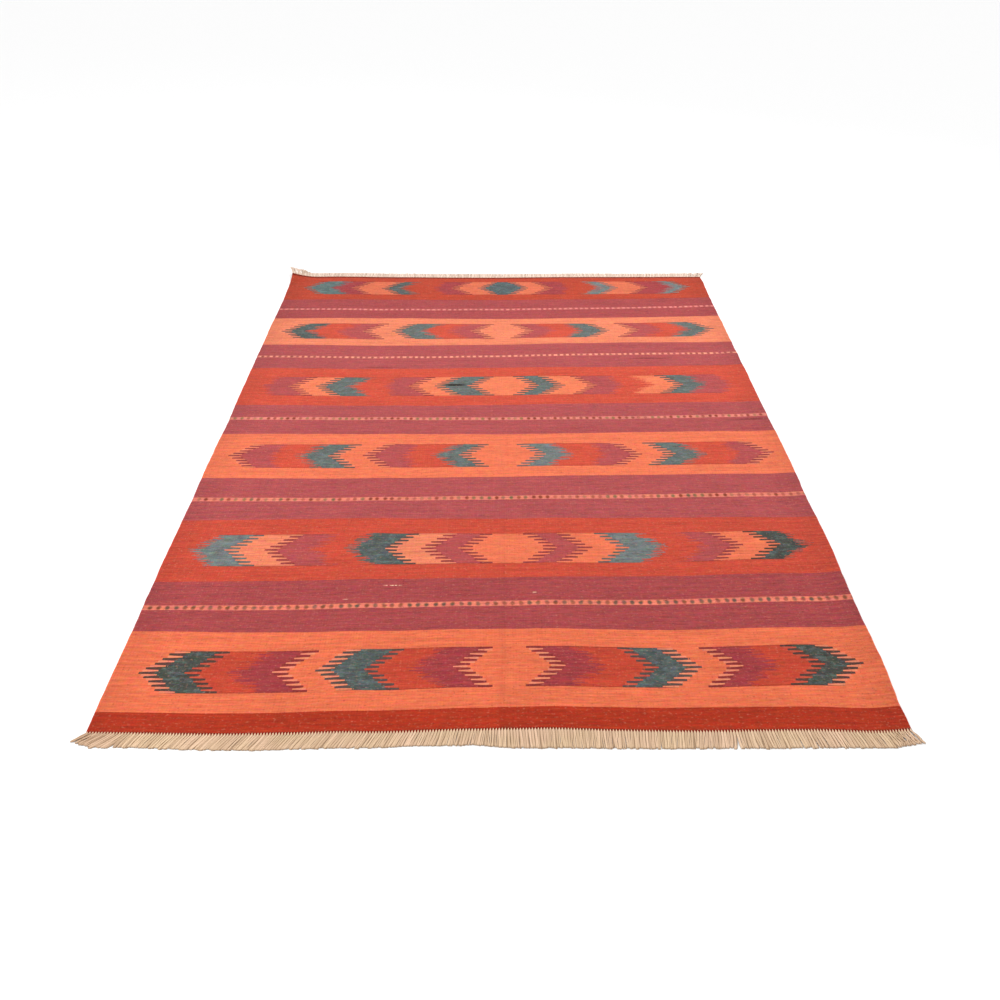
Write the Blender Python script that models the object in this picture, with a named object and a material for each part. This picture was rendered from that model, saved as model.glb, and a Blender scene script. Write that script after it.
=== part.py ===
"""Kilim rug: one flat-woven cloth lying on a floor, with a fringe of warp ends at each end.

Metres, +Z up. The rug lies on the plane Z = 0. +X runs across it, +Y along it, from the near end to
the far end, and the origin is under the middle of the whole rug, fringes included. "Across" and
"along" are places in the cloth as it came off the loom: across from its centre line, along from its
near woven edge.
"""

import math
import random
from collections import namedtuple

import bmesh
import bpy

# ---------------------------------------------------------------- driving dimensions (metres)
FIELD_WIDTH = 1.700
FIELD_LENGTH = 2.472
CLOTH_THICKNESS = 0.0034
ALONG_AT_ORIGIN = 1.237

FRINGE_GAP = 0.0003
STRIP_DEPTH = 0.0040
STRIP_HEIGHT = 0.0028
STRANDS_PER_END = 148
FAR_CUT = 0.0430
CUT_SPREAD = 0.0010
STRAND_SWAY = 0.0004
DROOP = 0.008

# A strand's rings: how far along it, how wide against the pitch, and how high.
Ring = namedtuple("Ring", "reach width height")
STRAND_RINGS = (
    Ring(reach=0.20, width=0.84, height=0.0026),
    Ring(reach=1.00, width=0.74, height=0.0019),
)

# Clumps of strands: their size in strands, and how far their tips are drawn together.
CLUMP_SIZES = (4, 3, 5, 4, 6, 3)
CLUMP_PULL = 0.0012

# How far each selvedge stands outside its straight line.
Selvedge = namedtuple("Selvedge", "along left right")
SELVEDGES = (
    Selvedge(along=0.000, left=-0.0005, right=-0.0005),
    Selvedge(along=0.100, left=0.0000, right=0.0010),
    Selvedge(along=0.200, left=0.0000, right=0.0070),
    Selvedge(along=0.340, left=0.0000, right=0.0060),
    Selvedge(along=0.500, left=0.0017, right=0.0090),
    Selvedge(along=0.620, left=0.0020, right=0.0135),
    Selvedge(along=0.750, left=0.0010, right=0.0125),
    Selvedge(along=0.850, left=0.0000, right=0.0110),
    Selvedge(along=1.000, left=0.0025, right=0.0135),
    Selvedge(along=1.100, left=0.0020, right=0.0140),
    Selvedge(along=1.250, left=-0.0003, right=0.0110),
    Selvedge(along=1.400, left=0.0015, right=0.0097),
    Selvedge(along=1.600, left=0.0026, right=0.0095),
    Selvedge(along=1.800, left=0.0030, right=0.0070),
    Selvedge(along=2.000, left=0.0037, right=0.0065),
    Selvedge(along=2.200, left=0.0020, right=0.0040),
    Selvedge(along=2.400, left=0.0060, right=0.0058),
    Selvedge(along=2.472, left=0.0060, right=0.0040),
)

# How far each woven end stands towards the far end from its straight line.
End = namedtuple("End", "across near far")
ENDS = (
    End(across=-0.850, near=0.000, far=0.008),
    End(across=-0.750, near=-0.002, far=0.009),
    End(across=-0.600, near=-0.006, far=0.009),
    End(across=-0.450, near=-0.005, far=0.002),
    End(across=-0.330, near=-0.001, far=0.001),
    End(across=-0.250, near=-0.002, far=-0.002),
    End(across=-0.100, near=0.002, far=-0.004),
    End(across=0.000, near=0.001, far=-0.006),
    End(across=0.120, near=0.004, far=-0.004),
    End(across=0.250, near=0.000, far=-0.001),
    End(across=0.400, near=-0.003, far=-0.001),
    End(across=0.650, near=-0.001, far=-0.003),
    End(across=0.780, near=-0.006, far=-0.001),
    End(across=0.850, near=0.000, far=0.001),
)

# Low ridges where the cloth stands off the floor: middle, heading from +X, length, half width, rise.
Ripple = namedtuple("Ripple", "across along heading length half_width rise")
RIPPLES = (
    Ripple(across=0.25, along=1.245, heading=-3.0, length=0.30, half_width=0.045, rise=0.0030),
    Ripple(across=0.48, along=1.262, heading=-6.0, length=0.26, half_width=0.042, rise=0.0026),
    Ripple(across=0.77, along=1.250, heading=5.0, length=0.26, half_width=0.042, rise=0.0030),
    Ripple(across=0.48, along=1.700, heading=-2.0, length=0.22, half_width=0.040, rise=0.0020),
    Ripple(across=0.83, along=1.730, heading=0.0, length=0.16, half_width=0.040, rise=0.0030),
    Ripple(across=0.17, along=1.600, heading=8.0, length=0.30, half_width=0.040, rise=0.0018),
    Ripple(across=-0.44, along=1.650, heading=-8.0, length=0.24, half_width=0.040, rise=0.0016),
    Ripple(across=0.44, along=0.453, heading=-18.0, length=0.32, half_width=0.042, rise=0.0020),
    Ripple(across=-0.84, along=0.900, heading=0.0, length=0.14, half_width=0.060, rise=0.0016),
    Ripple(across=-0.84, along=1.500, heading=0.0, length=0.12, half_width=0.050, rise=0.0014),
    Ripple(across=0.85, along=0.480, heading=0.0, length=0.14, half_width=0.060, rise=0.0018),
)

# The soft crease down the middle, where the rug was folded for storing, dies away along the rug.
CREASE_ACROSS = 0.002
CREASE_HALF_WIDTH = 0.040
CREASE_RISE = 0.0012
CREASE_FADES_ALONG = 1.70

# It lifts the middle of the near end, and the far left corner curls up.
END_LIFT_ACROSS = 0.020
END_LIFT_HALF_WIDTH = 0.220
END_LIFT_REACH = 0.260
END_LIFT_RISE = 0.0038
CURL_RISE = 0.0190
CURL_REACH = 0.110

# Lines of the cloth's mesh: even spacing, and closer lines by a fold.
ROW_PITCH = 0.080
ROW_FOLDS = (0.02, 0.453, 1.250, 1.600, 1.700, 2.440)
COLUMN_PITCH = 0.085
COLUMN_FOLDS = (-0.840, CREASE_ACROSS, 0.840)
FOLD_PITCH = 0.021

# How far a fringe's strands lean towards +X, in degrees, and how far out the near ones were cut.
Lean = namedtuple("Lean", "across near far near_cut")
LEANS = (
    Lean(across=-0.850, near=-54.0, far=-24.0, near_cut=0.0180),
    Lean(across=-0.800, near=-46.0, far=-12.0, near_cut=0.0305),
    Lean(across=-0.770, near=-40.0, far=-8.0, near_cut=0.0340),
    Lean(across=-0.745, near=-29.0, far=-2.0, near_cut=0.0325),
    Lean(across=-0.600, near=-32.0, far=4.0, near_cut=0.0350),
    Lean(across=-0.500, near=-30.0, far=0.0, near_cut=0.0380),
    Lean(across=-0.400, near=-28.0, far=-4.0, near_cut=0.0375),
    Lean(across=-0.320, near=-26.0, far=-8.0, near_cut=0.0375),
    Lean(across=-0.200, near=-22.0, far=-10.0, near_cut=0.0350),
    Lean(across=-0.100, near=-14.0, far=-2.0, near_cut=0.0355),
    Lean(across=-0.040, near=-10.0, far=2.0, near_cut=0.0335),
    Lean(across=0.000, near=0.0, far=5.0, near_cut=0.0390),
    Lean(across=0.050, near=4.0, far=8.0, near_cut=0.0415),
    Lean(across=0.120, near=2.0, far=4.0, near_cut=0.0445),
    Lean(across=0.250, near=-1.0, far=-1.0, near_cut=0.0425),
    Lean(across=0.400, near=-7.0, far=-6.0, near_cut=0.0400),
    Lean(across=0.490, near=-2.0, far=-1.0, near_cut=0.0405),
    Lean(across=0.550, near=5.0, far=2.0, near_cut=0.0420),
    Lean(across=0.650, near=10.0, far=6.0, near_cut=0.0410),
    Lean(across=0.750, near=16.0, far=8.0, near_cut=0.0380),
    Lean(across=0.800, near=18.0, far=12.0, near_cut=0.0360),
    Lean(across=0.830, near=23.0, far=16.0, near_cut=0.0315),
    Lean(across=0.850, near=26.0, far=22.0, near_cut=0.0320),
)

# Places where the near fringe parts, and how wide the parting is at the tips.
Parting = namedtuple("Parting", "across width")
PARTINGS = (
    Parting(across=-0.765, width=0.011),
    Parting(across=0.488, width=0.007),
    Parting(across=0.812, width=0.004),
)
PARTING_REACH = 0.030

WEFT_RED = (0.60, 0.10, 0.055, 1.0)
WARP_BEIGE = (0.66, 0.49, 0.33, 1.0)


# ---------------------------------------------------------------- curves through the tables
def curve_through(rows, place_column, value_column, place):
    """Value at a place, on a smooth curve through one column of a table."""
    places = [getattr(row, place_column) for row in rows]
    values = [getattr(row, value_column) for row in rows]
    place = min(max(place, places[0]), places[-1])
    k = 0
    while k < len(rows) - 2 and place > places[k + 1]:
        k += 1

    def slope(i):
        before, after = max(i - 1, 0), min(i + 1, len(rows) - 1)
        return (values[after] - values[before]) / (places[after] - places[before])

    span = places[k + 1] - places[k]
    t = (place - places[k]) / span
    start, end = slope(k) * span, slope(k + 1) * span
    return (
        (2 * t**3 - 3 * t**2 + 1) * values[k]
        + (t**3 - 2 * t**2 + t) * start
        + (3 * t**2 - 2 * t**3) * values[k + 1]
        + (t**3 - t**2) * end
    )


def hump(distance, half_width):
    """A round hump, 1 in the middle and 0 from half_width on."""
    if abs(distance) >= half_width:
        return 0.0
    return 0.5 * (1.0 + math.cos(math.pi * distance / half_width))


# ---------------------------------------------------------------- how the cloth lies
def lift(across, along):
    """Height of the cloth's underside over the floor."""
    height = 0.0
    for r in RIPPLES:
        turn = math.radians(r.heading)
        dx, dy = across - r.across, along - r.along
        with_it = dx * math.cos(turn) + dy * math.sin(turn)
        over_it = dy * math.cos(turn) - dx * math.sin(turn)
        height += r.rise * hump(with_it, r.length / 2) * hump(over_it, r.half_width)
    height += (
        CREASE_RISE
        * hump(across - CREASE_ACROSS, CREASE_HALF_WIDTH)
        * hump(along, CREASE_FADES_ALONG)
    )
    height += (
        END_LIFT_RISE * hump(across - END_LIFT_ACROSS, END_LIFT_HALF_WIDTH) * hump(along, END_LIFT_REACH)
    )
    corner = math.hypot(across + FIELD_WIDTH / 2, FIELD_LENGTH - along)
    height += CURL_RISE * max(0.0, 1.0 - corner / CURL_REACH) ** 2
    return height


def place_on_floor(across, along):
    """Where a point of the cloth's underside lies, with its uneven outline."""
    sideways = (across / FIELD_WIDTH) + 0.5
    endways = along / FIELD_LENGTH
    left = -curve_through(SELVEDGES, "along", "left", along)
    right = curve_through(SELVEDGES, "along", "right", along)
    near = curve_through(ENDS, "across", "near", across)
    far = curve_through(ENDS, "across", "far", across)
    return (
        across + left * (1.0 - sideways) + right * sideways,
        along + near * (1.0 - endways) + far * endways - ALONG_AT_ORIGIN,
        lift(across, along),
    )


def mesh_lines(start, end, pitch, folds):
    """Places of the mesh's lines: evenly spaced, with two closer lines on each side of a fold."""
    count = round((end - start) / pitch)
    lines = [start + (end - start) * i / count for i in range(count + 1)]
    for fold in folds:
        close = [fold + FOLD_PITCH * k for k in (-2, -1, 0, 1, 2)]
        inside = [c for c in close if start + FOLD_PITCH / 2 < c < end - FOLD_PITCH / 2]
        lines = [
            line
            for line in lines
            if line in (start, end) or min(abs(line - c) for c in inside) > FOLD_PITCH
        ]
        lines = sorted(lines + inside)
    return lines


COLUMNS = mesh_lines(-FIELD_WIDTH / 2, FIELD_WIDTH / 2, COLUMN_PITCH, COLUMN_FOLDS)
ROWS = mesh_lines(0.0, FIELD_LENGTH, ROW_PITCH, ROW_FOLDS)


# ---------------------------------------------------------------- scene helpers
def clear_scene():
    """Removes whatever the file starts with."""
    for ob in list(bpy.data.objects):
        bpy.data.objects.remove(ob, do_unlink=True)


def make_material(name, colour, roughness):
    """A plain Principled material."""
    material = bpy.data.materials.new(name)
    material.use_nodes = True
    shader = material.node_tree.nodes["Principled BSDF"]
    shader.inputs["Base Color"].default_value = colour
    shader.inputs["Roughness"].default_value = roughness
    shader.inputs["Metallic"].default_value = 0.0
    return material


def add_object(bm, name, material, collection):
    """Turns a bmesh into a named object."""
    bmesh.ops.recalc_face_normals(bm, faces=bm.faces[:])
    mesh = bpy.data.meshes.new(name)
    bm.to_mesh(mesh)
    bm.free()
    mesh.materials.append(material)
    mesh.shade_smooth()
    mesh.set_sharp_from_angle(angle=math.radians(40.0))
    ob = bpy.data.objects.new(name, mesh)
    collection.objects.link(ob)
    return ob


def slab(columns, rows, place, thickness):
    """A grid laid out by place(column, row), thickened straight up by thickness."""
    bm = bmesh.new()
    bmesh.ops.create_grid(bm, x_segments=len(columns) - 1, y_segments=len(rows) - 1, size=1.0)
    for v in bm.verts:
        i = round((v.co.x + 1.0) / 2.0 * (len(columns) - 1))
        j = round((v.co.y + 1.0) / 2.0 * (len(rows) - 1))
        v.co = place(columns[i], rows[j])
    raised = bmesh.ops.extrude_face_region(bm, geom=bm.faces[:])
    upper = [g for g in raised["geom"] if isinstance(g, bmesh.types.BMVert)]
    bmesh.ops.translate(bm, verts=upper, vec=(0.0, 0.0, thickness))
    return bm


# ---------------------------------------------------------------- the woven field
def build_field(collection):
    """The whole cloth, one sheet of even thickness that follows its low folds."""
    bm = slab(COLUMNS, ROWS, place_on_floor, CLOTH_THICKNESS)
    return add_object(bm, "woven_field", make_material("weft_red", WEFT_RED, 0.9), collection)


# ---------------------------------------------------------------- the fringes
def on_woven_end(along, share):
    """A point on a woven end's straight-sided outline, at a share of its width from the left."""
    corners = [place_on_floor(column, along) for column in COLUMNS]
    x = corners[0][0] + (corners[-1][0] - corners[0][0]) * share
    k = 0
    while k < len(corners) - 2 and x > corners[k + 1][0]:
        k += 1
    t = (x - corners[k][0]) / (corners[k + 1][0] - corners[k][0])
    return x, *(corners[k][n] + (corners[k + 1][n] - corners[k][n]) * t for n in (1, 2))


def clump_offsets():
    """Each strand's place in its clump, from -1 to 1."""
    offsets = []
    turn = 0
    while len(offsets) < STRANDS_PER_END:
        size = CLUMP_SIZES[turn % len(CLUMP_SIZES)]
        offsets += [2.0 * k / (size - 1) - 1.0 for k in range(size)]
        turn += 1
    return offsets[:STRANDS_PER_END]


def parted(across):
    """How far a tip is pushed aside by the partings near it."""
    push = 0.0
    for p in PARTINGS:
        aside = across - p.across
        push += math.copysign(p.width / 2, aside) * math.exp(-abs(aside) / PARTING_REACH)
    return push


def build_fringe(collection, end, seed):
    """A strip along a woven end, each of whose outer cells is drawn out into a strand."""
    along, outward = (0.0, -1.0) if end == "near" else (FIELD_LENGTH, 1.0)
    pitch = FIELD_WIDTH / STRANDS_PER_END
    cells = [i / STRANDS_PER_END for i in range(STRANDS_PER_END + 1)]
    depths = [FRINGE_GAP, FRINGE_GAP + STRIP_DEPTH]

    def place(share, depth):
        x, y, z = on_woven_end(along, share)
        return x, y + outward * depth, z

    bm = slab(cells, depths, place, STRIP_HEIGHT)
    bm.normal_update()
    bmesh.ops.recalc_face_normals(bm, faces=bm.faces[:])
    outer = [f for f in bm.faces if f.normal.y * outward > 0.7]
    outer.sort(key=lambda f: f.calc_center_median().x)

    draw = random.Random(seed)
    for face, clump in zip(outer, clump_offsets(), strict=True):
        root = face.calc_center_median()
        floor = root.z - STRIP_HEIGHT / 2
        lean = math.radians(curve_through(LEANS, "across", end, root.x))
        cut = curve_through(LEANS, "across", "near_cut", root.x) if end == "near" else FAR_CUT
        cut += draw.uniform(-1.0, 1.0) * CUT_SPREAD
        aside = draw.uniform(-1.0, 1.0) * STRAND_SWAY - clump * CLUMP_PULL
        if end == "near":
            aside += parted(root.x)
        for ring in STRAND_RINGS:
            face = bmesh.ops.extrude_discrete_faces(bm, faces=[face])["faces"][0]
            reach = ring.reach * cut
            middle = root.x + reach * math.tan(lean) + aside * ring.reach**2
            underside = max(0.0, floor - DROOP * ring.reach**2)
            corners = sorted(face.verts, key=lambda v: v.co.x)
            for pair, side in ((corners[:2], -1), (corners[2:], 1)):
                for v, rise in zip(sorted(pair, key=lambda v: v.co.z), (0.0, ring.height), strict=True):
                    v.co = (
                        middle + side * ring.width * pitch / 2,
                        root.y + outward * reach,
                        underside + rise,
                    )
    name = "fringe_" + end
    return add_object(bm, name, make_material("warp_" + end, WARP_BEIGE, 0.85), collection)


def main():
    """Builds the rug."""
    clear_scene()
    collection = bpy.data.collections.new("kilim_rug")
    bpy.context.scene.collection.children.link(collection)
    build_field(collection)
    build_fringe(collection, "near", seed=11)
    build_fringe(collection, "far", seed=23)


main()
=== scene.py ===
"""The looks of a flat-woven kilim rug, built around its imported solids.

Metres, +Z up, with the floor at Z = 0. +X runs across the rug and +Y along it, from the near end to
the far end. "Across" and "along" are places in the cloth as it came off the loom: across from its
centre line, along from its near woven edge. "Draft" is the place along in the weaver's drawing,
before the beating-up of the wefts drifted from it.
"""

import logging
import math
import random
from dataclasses import dataclass, replace
from enum import Enum
from typing import NamedTuple

import bmesh
import bpy
import numpy as np
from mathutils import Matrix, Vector


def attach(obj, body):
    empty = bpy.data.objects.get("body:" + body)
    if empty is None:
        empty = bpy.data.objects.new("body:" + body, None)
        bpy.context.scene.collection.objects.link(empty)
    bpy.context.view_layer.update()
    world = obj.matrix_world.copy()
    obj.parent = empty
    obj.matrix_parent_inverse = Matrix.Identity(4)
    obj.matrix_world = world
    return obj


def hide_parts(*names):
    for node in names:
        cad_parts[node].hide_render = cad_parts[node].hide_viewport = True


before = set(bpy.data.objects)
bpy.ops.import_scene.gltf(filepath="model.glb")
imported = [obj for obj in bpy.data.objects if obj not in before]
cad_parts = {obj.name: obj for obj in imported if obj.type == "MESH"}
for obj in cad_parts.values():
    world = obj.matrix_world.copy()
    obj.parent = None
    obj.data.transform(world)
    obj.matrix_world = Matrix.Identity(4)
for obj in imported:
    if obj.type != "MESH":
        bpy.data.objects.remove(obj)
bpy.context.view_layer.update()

LOG = logging.getLogger("kilim_rug")

Source = bpy.types.Node | bpy.types.NodeSocket | float | tuple[float, ...]
Places = np.ndarray

# ---------------------------------------------------------------- driving dimensions
FIELD_WIDTH = 1.700
FIELD_LENGTH = 2.472
CLOTH_THICKNESS = 0.0034
ALONG_AT_ORIGIN = 1.237

WEFT_PITCH = 0.00345
ROW_PITCH = 0.00676
BUNDLES_PER_END = 275
BUNDLE_PITCH = FIELD_WIDTH / BUNDLES_PER_END


# ---------------------------------------------------------------- how the cloth lies
class Selvedge(NamedTuple):
    """How far each selvedge stands outside its straight line."""

    along: float
    left: float
    right: float


class WovenEnd(NamedTuple):
    """How far each woven end stands towards the far end from its straight line."""

    across: float
    near: float
    far: float


class Ripple(NamedTuple):
    """A low ridge where the cloth stands off the floor, with its heading from +X in degrees."""

    across: float
    along: float
    heading: float
    length: float
    half_width: float
    rise: float


class Drift(NamedTuple):
    """How many millimetres the woven rows lie beyond their place in the draft, at five places across."""

    draft: float
    far_left: float
    left: float
    middle: float
    right: float
    far_right: float


class Lean(NamedTuple):
    """How far a fringe's strings lean towards +X, in degrees, and how far out the near ones were cut."""

    across: float
    near: float
    far: float
    near_cut: float


class Parting(NamedTuple):
    """A place where the near fringe parts, and how wide the parting is at the tips."""

    across: float
    width: float


SELVEDGES = (
    Selvedge(along=0.000, left=-0.0005, right=-0.0005),
    Selvedge(along=0.100, left=0.0000, right=0.0010),
    Selvedge(along=0.200, left=0.0000, right=0.0070),
    Selvedge(along=0.340, left=0.0000, right=0.0060),
    Selvedge(along=0.500, left=0.0017, right=0.0090),
    Selvedge(along=0.620, left=0.0020, right=0.0135),
    Selvedge(along=0.750, left=0.0010, right=0.0125),
    Selvedge(along=0.850, left=0.0000, right=0.0110),
    Selvedge(along=1.000, left=0.0025, right=0.0135),
    Selvedge(along=1.100, left=0.0020, right=0.0140),
    Selvedge(along=1.250, left=-0.0003, right=0.0110),
    Selvedge(along=1.400, left=0.0015, right=0.0097),
    Selvedge(along=1.600, left=0.0026, right=0.0095),
    Selvedge(along=1.800, left=0.0030, right=0.0070),
    Selvedge(along=2.000, left=0.0037, right=0.0065),
    Selvedge(along=2.200, left=0.0020, right=0.0040),
    Selvedge(along=2.400, left=0.0060, right=0.0058),
    Selvedge(along=2.472, left=0.0060, right=0.0040),
)

WOVEN_ENDS = (
    WovenEnd(across=-0.850, near=0.000, far=0.008),
    WovenEnd(across=-0.750, near=-0.002, far=0.009),
    WovenEnd(across=-0.600, near=-0.006, far=0.009),
    WovenEnd(across=-0.450, near=-0.005, far=0.002),
    WovenEnd(across=-0.330, near=-0.001, far=0.001),
    WovenEnd(across=-0.250, near=-0.002, far=-0.002),
    WovenEnd(across=-0.100, near=0.002, far=-0.004),
    WovenEnd(across=0.000, near=0.001, far=-0.006),
    WovenEnd(across=0.120, near=0.004, far=-0.004),
    WovenEnd(across=0.250, near=0.000, far=-0.001),
    WovenEnd(across=0.400, near=-0.003, far=-0.001),
    WovenEnd(across=0.650, near=-0.001, far=-0.003),
    WovenEnd(across=0.780, near=-0.006, far=-0.001),
    WovenEnd(across=0.850, near=0.000, far=0.001),
)

RIPPLES = (
    Ripple(across=0.25, along=1.245, heading=-3.0, length=0.30, half_width=0.045, rise=0.0030),
    Ripple(across=0.48, along=1.262, heading=-6.0, length=0.26, half_width=0.042, rise=0.0026),
    Ripple(across=0.77, along=1.250, heading=5.0, length=0.26, half_width=0.042, rise=0.0030),
    Ripple(across=0.48, along=1.700, heading=-2.0, length=0.22, half_width=0.040, rise=0.0020),
    Ripple(across=0.83, along=1.730, heading=0.0, length=0.16, half_width=0.040, rise=0.0030),
    Ripple(across=0.17, along=1.600, heading=8.0, length=0.30, half_width=0.040, rise=0.0018),
    Ripple(across=-0.44, along=1.650, heading=-8.0, length=0.24, half_width=0.040, rise=0.0016),
    Ripple(across=0.44, along=0.453, heading=-18.0, length=0.32, half_width=0.042, rise=0.0020),
    Ripple(across=-0.84, along=0.900, heading=0.0, length=0.14, half_width=0.060, rise=0.0016),
    Ripple(across=-0.84, along=1.500, heading=0.0, length=0.12, half_width=0.050, rise=0.0014),
    Ripple(across=0.85, along=0.480, heading=0.0, length=0.14, half_width=0.060, rise=0.0018),
)

DRIFT_STATIONS = (-0.82, -0.40, 0.00, 0.40, 0.82)
DRIFTS = (
    Drift(draft=0.000, far_left=0, left=0, middle=0, right=0, far_right=0),
    Drift(draft=0.060, far_left=-2, left=0, middle=3, right=7, far_right=8),
    Drift(draft=0.182, far_left=-10, left=-2, middle=6, right=4, far_right=18),
    Drift(draft=0.306, far_left=-1, left=-2, middle=2, right=1, far_right=12),
    Drift(draft=0.397, far_left=-11, left=-4, middle=2, right=7, far_right=23),
    Drift(draft=0.495, far_left=-13, left=-3, middle=1, right=7, far_right=22),
    Drift(draft=0.615, far_left=-6, left=1, middle=1, right=5, far_right=24),
    Drift(draft=0.748, far_left=-10, left=3, middle=-3, right=1, far_right=4),
    Drift(draft=0.845, far_left=-8, left=-4, middle=0, right=7, far_right=18),
    Drift(draft=0.952, far_left=-7, left=-7, middle=-2, right=8, far_right=16),
    Drift(draft=1.069, far_left=-5, left=-1, middle=2, right=4, far_right=15),
    Drift(draft=1.194, far_left=-5, left=-2, middle=-6, right=5, far_right=14),
    Drift(draft=1.288, far_left=-2, left=-1, middle=-2, right=1, far_right=20),
    Drift(draft=1.379, far_left=-6, left=-9, middle=-5, right=6, far_right=15),
    Drift(draft=1.505, far_left=-5, left=-2, middle=3, right=5, far_right=16),
    Drift(draft=1.634, far_left=-1, left=-6, middle=5, right=9, far_right=24),
    Drift(draft=1.732, far_left=-9, left=-13, middle=-2, right=11, far_right=20),
    Drift(draft=1.828, far_left=-10, left=-15, middle=-5, right=8, far_right=12),
    Drift(draft=1.942, far_left=-9, left=-4, middle=1, right=2, far_right=15),
    Drift(draft=2.057, far_left=-10, left=-4, middle=-9, right=-2, far_right=15),
    Drift(draft=2.143, far_left=-8, left=-9, middle=-4, right=3, far_right=22),
    Drift(draft=2.241, far_left=-13, left=-8, middle=-9, right=-6, far_right=8),
    Drift(draft=2.354, far_left=-5, left=-5, middle=2, right=-1, far_right=12),
    Drift(draft=2.472, far_left=0, left=0, middle=0, right=0, far_right=0),
)

LEANS = (
    Lean(across=-0.850, near=-54.0, far=-24.0, near_cut=0.0180),
    Lean(across=-0.800, near=-46.0, far=-12.0, near_cut=0.0305),
    Lean(across=-0.770, near=-40.0, far=-8.0, near_cut=0.0340),
    Lean(across=-0.745, near=-29.0, far=-2.0, near_cut=0.0325),
    Lean(across=-0.600, near=-32.0, far=4.0, near_cut=0.0350),
    Lean(across=-0.500, near=-30.0, far=0.0, near_cut=0.0380),
    Lean(across=-0.400, near=-28.0, far=-4.0, near_cut=0.0375),
    Lean(across=-0.320, near=-26.0, far=-8.0, near_cut=0.0375),
    Lean(across=-0.200, near=-22.0, far=-10.0, near_cut=0.0350),
    Lean(across=-0.100, near=-14.0, far=-2.0, near_cut=0.0355),
    Lean(across=-0.040, near=-10.0, far=2.0, near_cut=0.0335),
    Lean(across=0.000, near=0.0, far=5.0, near_cut=0.0390),
    Lean(across=0.050, near=4.0, far=8.0, near_cut=0.0415),
    Lean(across=0.120, near=2.0, far=4.0, near_cut=0.0445),
    Lean(across=0.250, near=-1.0, far=-1.0, near_cut=0.0425),
    Lean(across=0.400, near=-7.0, far=-6.0, near_cut=0.0400),
    Lean(across=0.490, near=-2.0, far=-1.0, near_cut=0.0405),
    Lean(across=0.550, near=5.0, far=2.0, near_cut=0.0420),
    Lean(across=0.650, near=10.0, far=6.0, near_cut=0.0410),
    Lean(across=0.750, near=16.0, far=8.0, near_cut=0.0380),
    Lean(across=0.800, near=18.0, far=12.0, near_cut=0.0360),
    Lean(across=0.830, near=23.0, far=16.0, near_cut=0.0315),
    Lean(across=0.850, near=26.0, far=22.0, near_cut=0.0320),
)

PARTINGS = (
    Parting(across=-0.765, width=0.011),
    Parting(across=0.488, width=0.007),
    Parting(across=0.812, width=0.004),
)


def curve_through(places: Places, values: Places, at: Places | float) -> Places:
    """Reads a smooth curve through a table's points.

    Args:
        places: where the table's points are, in rising order.
        values: the curve's value at each of them.
        at: where to read the curve.

    Returns:
        The curve's values there, level beyond the table's ends.
    """
    places, values = np.asarray(places, float), np.asarray(values, float)
    slopes = np.gradient(values)
    slopes[1:-1] = (values[2:] - values[:-2]) / (places[2:] - places[:-2])
    slopes[0] = (values[1] - values[0]) / (places[1] - places[0])
    slopes[-1] = (values[-1] - values[-2]) / (places[-1] - places[-2])
    at = np.clip(at, places[0], places[-1])
    k = np.clip(np.searchsorted(places, at, side="left") - 1, 0, len(places) - 2)
    span = places[k + 1] - places[k]
    t = (at - places[k]) / span
    return (
        (2 * t**3 - 3 * t**2 + 1) * values[k]
        + (t**3 - 2 * t**2 + t) * slopes[k] * span
        + (3 * t**2 - 2 * t**3) * values[k + 1]
        + (t**3 - t**2) * slopes[k + 1] * span
    )


def column_of(rows: tuple[NamedTuple, ...], name: str) -> Places:
    """One named column of a table."""
    return np.array([getattr(row, name) for row in rows], float)


def hump(distance: Places, half_width: float) -> Places:
    """A round hump, 1 in the middle and 0 from half_width on."""
    share = np.clip(np.abs(distance) / half_width, 0.0, 1.0)
    return 0.5 * (1.0 + np.cos(math.pi * share))


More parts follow.
